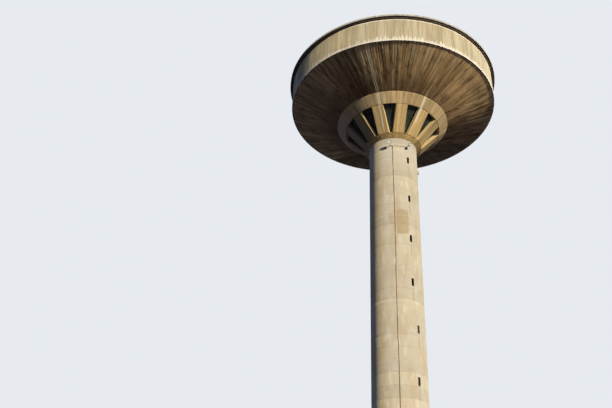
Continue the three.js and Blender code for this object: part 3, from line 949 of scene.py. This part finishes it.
def makeStruts():
    form = crownForm
    run, end, rows = crownRun - 2 * seatGap, form["endChamfer"], form["strutRows"]
    stations = [0.0, *(end + (run - 2 * end) * k / rows for k in range(rows + 1)), run]
    for number, node in enumerate(strutNodes):
        azimuth = azimuthOf(node)
        section = strutSection(form, np.random.default_rng(40 + number))
        points = []
        for along in stations:
            shrink = form["endShrink"] if along in (0.0, run) else 1.0
            for side, depth in section:
                depth = crownDepth / 2 + (depth - crownDepth / 2) * shrink
                points.append(strutPoint(azimuth, seatGap + along, depth, side * shrink))
        grid = np.array(points).reshape(len(stations), len(section), 3).transpose(1, 0, 2)
        mesh = meshOf(node, grid, gridFaces(len(section), len(stations), False))
        newPiece(f"{node}_boarded", mesh, ["crown"], [node])


def makeCrownRings():
    form = crownForm
    boardedRing("crown_collar", "crown_collar", "crown", collarCorners, form, form["collarBoards"], 1, 5)
    boardedRing("crown_ring", "ring_beam", "crown", ringCorners, form, form["ringBoards"], 1, 6)


windowForm = {
    "bar": 0.05 * metre, "mullion": 0.035 * metre, "steelDepth": 0.05 * metre, "glass": 0.008 * metre,
    "clear": 0.004 * metre, "transoms": (0.36, 0.70), "steps": 8,
}


def windowHalf(along, depth):
    # the half angle, in radians, of the gap between two struts
    radius = (crownFoot + crownAlong * along + crownInward * depth)[0]
    return pi / 12 - asin((strutHalf + windowForm["clear"]) / radius), radius


def curvedBar(azimuth, left, right, low, high, near, far, steps):
    # a bar in the window's surface; left and right give its sides as angles at each place along
    points = []
    for k in range(steps + 1):
        along = low + (high - low) * k / steps
        for depth, edge in ((near, left), (near, right), (far, right), (far, left)):
            radius, height = crownFoot + crownAlong * along + crownInward * depth
            turn = radians(azimuth) + edge(along)
            points.append((radius * sin(turn), -radius * cos(turn), height))
    faces = [(4 * k + a, 4 * k + (a + 1) % 4, 4 * k + 4 + (a + 1) % 4, 4 * k + 4 + a)
             for k in range(steps) for a in range(4)]
    return points, faces + [(3, 2, 1, 0), tuple(4 * steps + a for a in range(4))]


def makeWindows():
    form = windowForm
    bar, mullion, glass = form["bar"], form["mullion"], form["glass"]
    far, near = crownDepth, crownDepth - form["steelDepth"]
    low, high = seatGap, crownRun - seatGap

    def edge(share, offset):
        # an angle that keeps its distance from a share of the gap's width
        def angle(along):
            half, radius = windowHalf(along, near)
            return share * half + offset / radius
        return angle

    left, right = edge(-1, bar), edge(1, -bar)
    bars = [(edge(-1, 0), left, low, high), (right, edge(1, 0), low, high)]
    cuts = [low, *(low + (high - low) * share for share in form["transoms"]), high]
    for cut in cuts:
        width = bar if cut in (low, high) else mullion
        start = min(max(cut - width / 2, low), high - width)
        bars.append((left, right, start, start + width))
    for first, second in zip(cuts[1:-1], cuts[2:]):
        sides = edge(0, -mullion / 2), edge(0, mullion / 2)
        bars.append((*sides, first + mullion / 2, second - bar / 2))
    middle = (near + far) / 2
    pane = (edge(-1, bar / 2), edge(1, -bar / 2), low + bar / 2, high - bar / 2,
            middle - glass / 2, middle + glass / 2, form["steps"])
    for node in paneNodes:
        azimuth = azimuthOf(node)
        points, faces = [], []
        for *sides, start, end in bars:
            steps = form["steps"] if end - start > 2 * bar else 1
            more, moreFaces = curvedBar(azimuth, *sides, start, end, near, far, steps)
            faces += [[v + len(points) for v in face] for face in moreFaces]
            points += more
        newPiece(f"{node}_steel", meshOf(node, points, faces), ["steel"])
        mesh = meshOf(f"{node}_glass", *curvedBar(azimuth, *pane))
        newPiece(f"{node}_glass", mesh, ["glass"], [node])


makeShaft()
makeGroundSlab()
print("shaft made")
makeStruts()
makeCrownRings()
makeWindows()
print("crown made")

# tank

tankForm = {
    "coneBoards": 240, "bandBoards": 420, "joint": 0.06, "jointDepth": 0.008 * metre,
    "uneven": 0.006 * metre, "chamfer": 0.012 * metre, "step": 0.18 * metre, "rimDrop": 0.022 * metre,
}


def coneOutline():
    # starts with the underside, whose rim comes down to the band's edge
    corners = cornersOf("tank_cone")
    corners = np.roll(corners, -int(corners[:, 1].argmin()), axis=0)
    corners[1, 1] -= tankForm["rimDrop"]
    return corners


def bandOutline():
    # starts with the ledge under the skirt that hangs past the cone's rim
    corners = cornersOf("tank_band")
    inner, rim, outer = levels(corners[:, 0])
    low, seat, high = levels(corners[:, 1])
    return np.array(((rim, low), (outer, low), (outer, high), (inner, high), (inner, seat), (rim, seat)))


def makeTank():
    form = tankForm
    boardedRing("tank_cone", "tank_cone", "cone", coneOutline(), form, form["coneBoards"], 0, 11)
    boardedRing("tank_band", "tank_band", "band", bandOutline(), form, form["bandBoards"], 1, 12)


corniceForm = {
    "groove": 0.03 * metre, "grooveIn": 0.143 * metre, "columns": 360, "step": 0.1 * metre,
    "chamfer": 0.006 * metre,
}


def makeCornice():
    # a drip groove runs round the sloping soffit
    form = corniceForm
    corners = cornersOf("cornice")
    inner, outer = corners[:, 0].min(), corners[:, 0].max()
    low, high = corners[:, 1].min(), corners[:, 1].max()
    edge = min(c[1] for c in corners if outer - c[0] < alike)
    wall = bandOutline()[:, 0].max()
    near, far = (outer - form["grooveIn"] + s * form["groove"] for s in (-1, 1))
    soffit = np.interp((near, far), (wall, outer), (low, edge))
    ceiling = soffit[1] + form["groove"]
    outline = np.array((
        (inner, low), (wall, low), (near, soffit[0]), (near, ceiling), (far, ceiling), (far, soffit[1]),
        (outer, edge), (outer, high), (inner, high),
    ))
    profile = softened(outline, form["step"], form["chamfer"])
    turned("cornice_edge", profile, *plain(form["columns"], profile), ["edge"], "edge_concrete", ["cornice"])


roofForm = {
    "flat": 0.6 * metre, "centre": 0.02 * metre, "step": 0.3 * metre, "chamfer": 0.012 * metre,
    "laps": 36, "joint": 0.012, "lapDepth": -0.03 * metre, "between": 6,
}


def makeRoof():
    # the felt's laps run down the slope, side 3 of the outline, as thin ridges
    form = roofForm
    corners = cornersOf("roof")
    edge, flat, centre = corners[:, 0].max(), form["flat"], form["centre"]
    lower, upper = sorted((c for c in corners if edge - c[0] < alike), key=lambda c: c[1])
    top = corners[:, 1].max()
    under = top - (upper[1] - lower[1])
    outline = np.array(((centre, under), (flat, under), lower, upper, (flat, top), (centre, top)))
    profile = softened(outline, form["step"], form["chamfer"], closed=False)
    angles, relief = boards(form["laps"], form["joint"], form["lapDepth"], 0.0, 3)
    lapped = np.outer(relief, (profile[2] == 3) & (profile[0][:, 0] > 1.2 * flat))
    angles, lapped = filledIn(angles, lapped, form["between"])
    turned("roof_screed", profile, angles, lapped, ["roof"], "roof_concrete", ["roof"], closed=False)


def filledIn(angles, relief, extra):
    # more columns between the far-apart ones, so that the circle stays round
    newAngles, newRelief = [], []
    for k, angle in enumerate(angles):
        after = angles[(k + 1) % len(angles)] + (2 * pi if k + 1 == len(angles) else 0)
        newAngles.append(angle)
        newRelief.append(relief[k])
        if after - angle > radians(3):
            for m in range(1, extra + 1):
                share = m / (extra + 1)
                newAngles.append(angle + (after - angle) * share)
                newRelief.append(relief[k] * (1 - share) + relief[(k + 1) % len(angles)] * share)
    return np.array(newAngles), np.array(newRelief)


makeTank()
makeCornice()
makeRoof()
print("tank made")

# fittings

def tubeShape(rings):
    # a closed solid through rings of points
    shape = bmesh.new()
    rings = [[shape.verts.new(point) for point in ring] for ring in rings]
    for lower, upper in zip(rings, rings[1:]):
        for k in range(len(lower)):
            after = (k + 1) % len(lower)
            shape.faces.new((lower[k], lower[after], upper[after], upper[k]))
    shape.faces.new(rings[0][::-1])
    shape.faces.new(rings[-1])
    return shape


class Kit:
    # gathers small solids, in real metres, into one mesh
    def __init__(self, base):
        self.aim(base)
        self.whole = bmesh.new()

    def aim(self, base):
        self.base = base @ Matrix.Scale(metre, 4)

    def put(self, shape, at=(0, 0, 0), tilt=None, coat=0):
        place = Matrix.Translation(at)
        if tilt:
            place = place @ Matrix.Rotation(radians(tilt[1]), 4, tilt[0])
        bmesh.ops.transform(shape, matrix=self.base @ place, verts=shape.verts)
        for face in shape.faces:
            face.material_index = coat
        bmesh.ops.recalc_face_normals(shape, faces=shape.faces)
        scrap = bpy.data.meshes.new("scrap")
        shape.to_mesh(scrap)
        shape.free()
        self.whole.from_mesh(scrap)
        bpy.data.meshes.remove(scrap)

    def block(self, size, at, chamfer, tilt=None, coat=0):
        shape = bmesh.new()
        bmesh.ops.create_cube(shape, size=1, matrix=Matrix.Diagonal((*size, 1)))
        bmesh.ops.bevel(shape, geom=shape.edges[:], offset=chamfer, segments=2, profile=0.7, affect="EDGES")
        self.put(shape, at, tilt, coat)

    def lathe(self, outline, sides, at=(0, 0, 0), tilt=None, coat=0):
        # turns (radius, height) points, which start and end on or near the axis, about Z
        turns = [2 * pi * k / sides for k in range(sides)]
        rings = [[(radius * cos(t), radius * sin(t), height) for t in turns] for radius, height in outline]
        self.put(tubeShape(rings), at, tilt, coat)

    def rod(self, path, radius, sides=10, coat=0):
        # a round bar along a path
        path = [Vector(p) for p in path]
        turns = [2 * pi * k / sides for k in range(sides)]
        rings = []
        for k, here in enumerate(path):
            along = (path[min(k + 1, len(path) - 1)] - path[max(k - 1, 0)]).normalized()
            hint = Vector((0, 0, 1)) if abs(along.z) < 0.8 else Vector((0, 1, 0))
            side = along.cross(hint).normalized()
            lift = side.cross(along)
            rings.append([here + radius * (cos(t) * side + sin(t) * lift) for t in turns])
        self.put(tubeShape(rings), coat=coat)

    def bolts(self, places, radius, height, tilt=("X", 90)):
        # bolt heads on their washers
        wide, washer = radius * 1.5, height * 0.3
        outline = ((wide, 0), (wide, washer), (radius, washer), (radius, height), (radius * 0.3, height))
        for at in places:
            self.lathe(outline, 6, at, tilt, 1)

    def piece(self, name, coats, slotName, nodes=()):
        mesh = bpy.data.meshes.new(name)
        self.whole.to_mesh(mesh)
        self.whole.free()
        return newPiece(name, mesh, coats, nodes)


floodlight = {
    "plate": 0.16, "plateThick": 0.018, "boltSpread": 0.68, "arm": 0.48, "armSize": 0.045, "armShort": 0.09,
    "width": 0.34, "tall": 0.36, "deep": 0.11, "rim": 0.028, "fins": 9, "visor": 0.06, "visorThick": 0.006,
    "lift": 0.03, "tilt": 25, "pan": {"left_floodlight": 0, "right_floodlight": 50},
    "strap": 0.035, "strapThick": 0.008, "strapDeep": 0.13,
}


def makeFloodlight(node):
    lamp = floodlight
    wide, tall, front, visor = lamp["width"], lamp["tall"], -lamp["deep"] / 2, lamp["visor"]
    plate, thick, arm = lamp["plate"], lamp["plateThick"], lamp["arm"] - lamp["armShort"]
    low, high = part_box(node)
    base = placeAt(headingOf(node), shaftRadius, (low.z + high.z) / 2 - lamp["lift"] * metre)
    kit = Kit(base)
    kit.block((plate, thick, plate), (0, -thick / 2 - 0.004, 0), 0.004)
    spread = plate / 2 * lamp["boltSpread"]
    kit.bolts([(x * spread, -thick - 0.003, z * spread) for x in (-1, 1) for z in (-1, 1)], 0.012, 0.012)
    kit.block((lamp["armSize"], arm, lamp["armSize"]), (0, -arm / 2 - 0.015, 0), 0.006)
    kit.piece(f"{node}_bracket", ["lamp", "bolt"], "dark_metal")

    # the stirrup that the head turns in
    centre = Vector((0, -lamp["arm"] - 0.08, lamp["lift"])) * metre
    yoke = base @ Matrix.Translation(centre) @ Matrix.Rotation(radians(lamp["pan"][node]), 4, "Z")
    kit = Kit(yoke)
    for x in (-1, 1):
        side = x * (wide / 2 + 0.012)
        kit.block((lamp["strapThick"], lamp["strapDeep"], lamp["strap"]), (side, 0.055, 0), 0.002)
        kit.bolts([(side + x * 0.004, 0, 0)], 0.014, 0.02, ("Y", 90 * x))
    kit.block((wide + 0.032, 0.010, lamp["strap"]), (0, 0.12, 0), 0.003)
    kit.piece(f"{node}_stirrup", ["lamp", "bolt"], "dark_metal")

    # the head: body, front rim, cooling fins, visor with its cheeks, and two clips
    tip = yoke @ Matrix.Rotation(radians(lamp["tilt"]), 4, "X")
    kit = Kit(tip)
    kit.block((wide - 0.02, lamp["deep"] - 0.03, tall - 0.02), (0, 0.01, 0), 0.02)
    kit.block((wide, lamp["rim"], tall), (0, front + 0.02, 0), 0.008)
    for share in np.linspace(-0.5, 0.5, lamp["fins"]):
        kit.block((0.008, 0.05, tall - 0.07), (share * (wide - 0.10), 0.005 - front, 0), 0.002)
    kit.block((wide, visor, lamp["visorThick"]), (0, front - visor / 2 + 0.01, tall / 2 - 0.004), 0.002)
    for x in (-1, 1):
        cheek = (x * (wide / 2 - 0.004), front - visor * 0.35, tall * 0.22)
        kit.block((lamp["visorThick"], visor * 0.8, tall * 0.55), cheek, 0.002)
        kit.block((0.03, 0.014, 0.02), (x * wide * 0.3, front - 0.002, 0.012 - tall / 2), 0.003, coat=1)
    kit.piece(f"{node}_housing", ["lamp", "bolt"], "dark_metal", [node])
    kit = Kit(tip)
    kit.block((wide - 0.07, 0.008, tall - 0.07), (0, front + 0.001, 0), 0.003)
    kit.piece(f"{node}_glass", ["lampGlass"], "glazing")


conduitRoute = {
    "azimuth": -40.0, "radius": 0.020, "gap": 0.006, "foot": 1.20, "step": 0.35,
    "jogs": ((37.9, 0.02), (30.0, -0.03), (23.0, 0.03), (17.0, 0.04)),
    "clipEvery": 1.45, "clipFromFoot": 0.6, "clipFromLamp": 0.4,
    "clip": (0.056, 0.048), "strap": (0.120, 0.006), "clipTall": 0.030,
    "wire": 0.014, "wireGap": 0.02, "wireLift": 0.03, "sag": 0.07, "wireSteps": 16, "wireShare": 0.93,
    "box": (0.14, 0.09, 0.16),
    "gland": ((0.030, 0), (0.030, 0.02), (0.026, 0.026), (0.026, 0.045), (0.020, 0.05)),
}


def makeConduit():
    route = conduitRoute
    lampLow, lampHigh = boxOf("left_floodlight")
    lampHeight = (lampLow[2] + lampHigh[2]) / 2
    wall = shaftRadius / metre
    stand = wall + route["radius"] + route["gap"]

    def onWall(azimuth, height, out=stand):
        turn = radians(azimuth)
        return out * sin(turn), -out * cos(turn), height

    def jogged(height):
        # the run's azimuth, with a small jog where one length meets the next
        shift = sum(jog for at, jog in route["jogs"] if height < at)
        return route["azimuth"] + degrees(shift / stand)

    kit = Kit(placeAt(0))
    heights = np.arange(lampHeight, route["foot"], -route["step"])
    kit.rod([onWall(jogged(height), height) for height in heights], route["radius"])
    clipFrom, clipTo = route["foot"] + route["clipFromFoot"], lampHeight - route["clipFromLamp"]
    for height in np.arange(clipFrom, clipTo, route["clipEvery"]):
        kit.aim(placeAt(jogged(height)))
        kit.block((*route["clip"], route["clipTall"]), (0, -wall - 0.024, height), 0.010)
        kit.block((*route["strap"], route["clipTall"]), (0, -wall - 0.005, height), 0.002)
    # the wires round the wall to the two lamps
    kit.aim(placeAt(0))
    for node in ("left_floodlight", "right_floodlight"):
        reach = (headingOf(node) - route["azimuth"]) * route["wireShare"]
        wire = []
        for share in np.linspace(0, 1, route["wireSteps"] + 1):
            height = lampHeight + route["wireLift"] - route["sag"] * sin(pi * share)
            azimuth = route["azimuth"] + reach * share
            wire.append(onWall(azimuth, height, wall + route["wire"] + route["wireGap"]))
        kit.rod(wire, route["wire"], 8)
    kit.piece("conduit_run", ["cable", "bolt"], "dark_metal")

    kit = Kit(placeAt(route["azimuth"], shaftRadius))
    wide, deep, tall = route["box"]
    for height, way in ((lampHeight, -1), (route["foot"], 1)):
        kit.block((wide, deep * 0.75, tall), (0, -deep * 0.38 - 0.004, height), 0.010)
        kit.block((wide + 0.008, deep * 0.22, tall + 0.008), (0, -deep * 0.87, height), 0.008)
        corners = [(x * wide * 0.38, height + z * tall * 0.40) for x in (-1, 1) for z in (-1, 1)]
        kit.bolts([(x, -deep * 0.98, z) for x, z in corners], 0.006, 0.006)
        mouth = (0, -route["radius"] - route["gap"], height + way * tall / 2)
        kit.lathe(route["gland"], 12, mouth, ("X", 90 - 90 * way), 1)
    kit.piece("conduit_boxes", ["lamp", "bolt"], "dark_metal", ["lamp_conduit"])


sideBox = {
    "size": (0.22, 0.14, 0.36), "gland": ((0.028, 0), (0.028, 0.022), (0.02, 0.03), (0.02, 0.05)),
}


def makeSideBox():
    wide, deep, tall = sideBox["size"]
    low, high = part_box("side_box")
    kit = Kit(placeAt(headingOf("side_box"), shaftRadius, (low.z + high.z) / 2))
    kit.block((wide, deep * 0.78, tall), (0, -deep * 0.39 - 0.004, 0), 0.02)
    kit.block((wide + 0.006, deep * 0.18, tall + 0.006), (0, -deep * 0.88, 0), 0.014)
    kit.block((wide * 0.62, 0.006, tall * 0.30), (0, -deep * 0.98, tall * 0.18), 0.002)
    for z in (-1, 1):
        kit.block((0.06, 0.014, 0.03), (0, -0.011, z * (tall / 2 + 0.012)), 0.003, coat=1)
        kit.bolts([(x * wide * 0.40, -deep * 0.97, z * tall * 0.42) for x in (-1, 1)], 0.007, 0.008)
    kit.lathe(sideBox["gland"], 12, (0, -deep * 0.4, -tall / 2), ("X", 180), 1)
    kit.piece("side_box_case", ["pale", "bolt"], "pale_metal", ["side_box"])


ventForm = {
    "stem": 0.28, "cap": 0.45, "hood": 0.14, "throat": 0.18, "posts": 12, "louvres": 3, "louvreStep": 0.05,
    "sides": 48, "centre": 0.02,
}


def makeVent():
    form = ventForm
    low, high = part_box("roof_vent")
    tall = (high.z - low.z) / metre
    stem, cap, centre, sides = form["stem"], form["cap"], form["centre"], form["sides"]
    neck = tall - form["hood"]
    top, post = neck - form["throat"], stem - 0.03
    kit = Kit(placeAt(0, 0, low.z))
    kit.lathe(((centre, 0.0), (stem + 0.05, 0.0), (stem + 0.05, 0.02), (stem, 0.035), (stem, top),
               (centre, top)), sides)
    for k in range(form["posts"]):  # posts round the louvred throat
        turn = 2 * pi * k / form["posts"]
        kit.block((0.03, 0.03, 0.22), (post * cos(turn), post * sin(turn), neck - 0.08), 0.004)
    for k in range(form["louvres"]):
        z = neck - 0.145 + k * form["louvreStep"]
        kit.lathe(((stem - 0.07, z + 0.03), (stem - 0.065, z + 0.028), (stem + 0.02, z - 0.012),
                   (stem + 0.015, z - 0.018)), sides)
    kit.lathe(((centre, neck + 0.012), (cap - 0.02, neck - 0.01), (cap, neck - 0.012), (cap, neck + 0.01),
               (cap * 0.6, neck + 0.07), (0.06, tall - 0.012), (centre, tall - 0.004)), sides)
    kit.piece("roof_vent_cowl", ["zinc"], "pale_metal", ["roof_vent"])


hatchForm = {
    "size": 0.95, "tall": 0.30, "lid": 0.05, "kerbIn": 0.10, "panelIn": 0.24, "hinges": (-0.30, 0.30),
    "hingeHalf": 0.06, "handle": ((-0.09, 0.130), (-0.09, 0.146), (0.09, 0.146), (0.09, 0.130)),
}


def makeHatch():
    form = hatchForm
    size, tall = form["size"], form["tall"]
    middle = Vector(pointsOf("roof_hatch").mean(0))
    corners = cornersOf("roof")
    edge = corners[:, 0].max()
    edgeTop = max(c[1] for c in corners if edge - c[0] < alike)
    slope = atan2(corners[:, 1].max() - edgeTop, edge - roofForm["flat"])
    distance = (middle.x ** 2 + middle.y ** 2) ** 0.5
    base = placeAt(headingOf("roof_hatch"), distance, middle.z) @ Matrix.Rotation(slope, 4, "X")
    kit = Kit(base)
    for inset, thick, height, chamfer in (
        (form["kerbIn"], tall - 0.09, -0.04, 0.015),
        (0.0, form["lid"], tall / 2 - 0.055, 0.012),
        (form["panelIn"], 0.018, tall / 2 - 0.024, 0.006),
    ):
        kit.block((size - inset, size - inset, thick), (0, 0, height), chamfer)
    kit.piece("roof_hatch_lid", ["roof"], "roof_concrete", ["roof_hatch"])
    kit = Kit(base)
    for x in form["hinges"]:
        kit.rod([(x + s * form["hingeHalf"], size / 2 + 0.004, 0.085) for s in (-1, 1)], 0.016, 12)
        kit.block((0.07, 0.10, 0.008), (x, size / 2 - 0.04, 0.122), 0.002)
    kit.rod([(x, 0.11 - size / 2, z) for x, z in form["handle"]], 0.008, 8)
    kit.piece("roof_hatch_irons", ["bolt"], "pale_metal")


doorForm = {
    "stile": 0.12, "panel": 0.012, "rails": ((0.09, 0.18), (0.98, 0.14)), "topRail": 0.12,
    "slats": 8, "slat": 0.045, "slatsFrom": 1.32, "slatStep": 0.05, "slatTilt": -35,
    "kick": 0.16, "kickBolts": (-0.22, 0.0, 0.22), "leverHeight": 1.05, "leverIn": 0.065,
    "grip": ((0, 0, 0.030), (0, 0.050, 0.030), (0.020, 0.055, 0.030), (0.120, 0.055, 0.028)),
    "hinges": (0.25, 1.0, 1.75), "hingeTall": 0.11, "gap": 0.004,
}


def makeDoor():
    form = doorForm
    panel, stile = form["panel"], form["stile"]
    (left, front, bottom), (right, back, top) = boxOf("door_frame")
    (leafLeft, face, low), (leafRight, leafBack, leafTop) = boxOf("door_leaf")
    wide, tall, thick = leafRight - leafLeft, leafTop - low, leafBack - face
    kit = Kit(placeAt(0))
    kit.block((wide, thick - panel, tall), (0, face + thick / 2 + panel / 2, low + tall / 2), 0.004)
    for x in (-1, 1):
        kit.block((stile, panel, tall), (x * (wide - stile) / 2, face + panel / 2, low + tall / 2), 0.003)
    for z, high in (*form["rails"], (tall - form["topRail"] / 2, form["topRail"])):
        kit.block((wide - 2 * stile, panel, high), (0, face + panel / 2, low + z), 0.003)
    for k in range(form["slats"]):  # louvre in the upper panel
        at = (0, face + panel, low + form["slatsFrom"] + k * form["slatStep"])
        kit.block((wide - 2 * stile - 0.06, 0.006, form["slat"]), at, 0.001, ("X", form["slatTilt"]))
    # a kicking plate, then the lever on its plate and the lock
    kit.block((wide - 0.02, 0.004, form["kick"]), (0, face - 0.002, low + 0.09), 0.001, coat=1)
    kit.bolts([(x, face - 0.004, low + z) for x in form["kickBolts"] for z in (0.03, 0.15)], 0.006, 0.005)
    lever, handle = wide / 2 - form["leverIn"], low + form["leverHeight"]
    kit.block((0.045, 0.008, 0.20), (lever, face - 0.004, handle), 0.003, coat=1)
    kit.rod([(lever - x, face - out, handle + z) for x, out, z in form["grip"]], 0.009, coat=1)
    lock = ((0.012, 0), (0.012, 0.006), (0.004, 0.006))
    kit.lathe(lock, 12, (lever, face - 0.008, handle - 0.05), ("X", 90), 1)
    kit.piece("door_leaf_panelled", ["door", "bolt"], "door_metal", ["door_leaf"])

    kit = Kit(placeAt(0))
    width, deep, middle = right - left, back - front, (front + back) / 2
    jamb = (width - wide) / 2 - form["gap"]
    for x in (-1, 1):
        kit.block((jamb, deep, top - bottom), (x * (width - jamb) / 2, middle, (top + bottom) / 2), 0.004)
    kit.block((width - 2 * jamb, deep, jamb), (0, middle, top - jamb / 2), 0.004)
    hinge = -wide / 2 - 0.006
    for z in form["hinges"]:
        kit.rod([(hinge, face - 0.008, low + z + up) for up in (0, form["hingeTall"])], 0.010, coat=1)
    kit.piece("door_frame_steel", ["door", "bolt"], "door_metal", ["door_frame"])


for node in floodlight["pan"]:
    makeFloodlight(node)
makeConduit()
makeSideBox()
makeVent()
makeHatch()
makeDoor()
for node in ("chamber_floor", "tank_floor"):  # CAD pieces that stay, seen only from inside
    slots = frame["nodes"][node].data.materials
    slots.clear()
    slots.append(finishes["inner"])
print("fittings made")

# camera, light and floor

viewpoint = {
    "azimuth": -40.0, "distance": 55.73, "eye": 1.6, "lens": 42.0, "pitch": 32.65, "yaw": 8.38, "roll": 2.84,
}


def placeCamera():
    view = viewpoint
    yaw, pitch, roll = (radians(view[key]) for key in ("yaw", "pitch", "roll"))
    ahead = Vector((-sin(yaw) * cos(pitch), cos(yaw) * cos(pitch), sin(pitch)))
    right = Vector((cos(yaw), sin(yaw), 0))
    up = right.cross(ahead)
    tiltedRight = cos(roll) * right + sin(roll) * up
    tiltedUp = cos(roll) * up - sin(roll) * right
    turn = Matrix((tiltedRight, tiltedUp, -ahead)).transposed().to_4x4()
    camera = bpy.data.objects.new("camera", bpy.data.cameras.new("camera"))
    camera.data.lens = view["lens"]
    camera.data.clip_start, camera.data.clip_end = 0.05, 400
    camera.matrix_world = placeAt(view["azimuth"], view["distance"] * metre, view["eye"] * metre) @ turn
    bpy.context.scene.collection.objects.link(camera)
    bpy.context.scene.camera = camera


studio = {
    "sunAzimuth": -4.0, "sunHeight": 12.0, "sunPower": 4.15, "sunColour": (1.0, 0.915, 0.735),
    "sunSize": 1.6,
    "fill": (0.064, 0.110, 0.195), "backdrop": (0.80, 0.83, 0.87), "floorSize": 60,
    "floor": tone(214, 212, 208), "floorBounce": tone(77, 75, 91), "floorGlow": 0.30,
    "glowColour": (0.90, 0.92, 0.94, 1), "floorDrop": 0.001,
    "backAzimuth": 140.0, "backHeight": 26.0, "backPower": 2.0, "backColour": (0.92, 0.96, 1.0),
    "backSize": 14.0,
}


def lightStudio():
    for name in ("sun", "back"):
        azimuth, height = radians(studio[f"{name}Azimuth"]), radians(studio[f"{name}Height"])
        toLight = Vector((sin(azimuth) * cos(height), -cos(azimuth) * cos(height), sin(height)))
        lamp = bpy.data.objects.new(name, bpy.data.lights.new(name, "SUN"))
        lamp.data.energy = studio[f"{name}Power"]
        lamp.data.color = studio[f"{name}Colour"]
        lamp.data.angle = radians(studio[f"{name}Size"])
        lamp.rotation_mode = "QUATERNION"
        lamp.rotation_quaternion = toLight.to_track_quat("Z", "Y")
        bpy.context.scene.collection.objects.link(lamp)
    world = bpy.data.worlds.new("studio")
    world.use_nodes = True
    bpy.context.scene.world = world
    nodes, links = world.node_tree.nodes, world.node_tree.links
    fill, backdrop = nodes["Background"], nodes.new("ShaderNodeBackground")
    fill.inputs["Color"].default_value = (*studio["fill"], 1)
    backdrop.inputs["Color"].default_value = (*studio["backdrop"], 1)
    path, either = nodes.new("ShaderNodeLightPath"), nodes.new("ShaderNodeMixShader")
    links.new(path.outputs["Is Camera Ray"], either.inputs["Fac"])
    links.new(fill.outputs["Background"], either.inputs[1])
    links.new(backdrop.outputs["Background"], either.inputs[2])
    links.new(either.outputs["Shader"], nodes["World Output"].inputs["Surface"])


def layFloor():
    half = studio["floorSize"] / 2
    mesh = bpy.data.meshes.new("floor")
    corners = [(x * half, y * half, -studio["floorDrop"]) for x, y in ((-1, -1), (1, -1), (1, 1), (-1, 1))]
    mesh.from_pydata(corners, [], [(0, 1, 2, 3)])
    f = Finish("studio_floor", studio, Roughness=0.8, Emission_Color=studio["glowColour"])
    seen = f.put("LightPath", out="Is Camera Ray")
    f.feed(f.shader.inputs["Emission Strength"], f.times(seen, studio["floorGlow"]))
    f.base(seen, "floorBounce", "floor")
    mesh.materials.append(f.done())
    floor = bpy.data.objects.new("floor", mesh)
    bpy.context.scene.collection.objects.link(floor)


placeCamera()
lightStudio()
layFloor()
bpy.context.scene.view_settings.view_transform = "Standard"
print("studio ready")
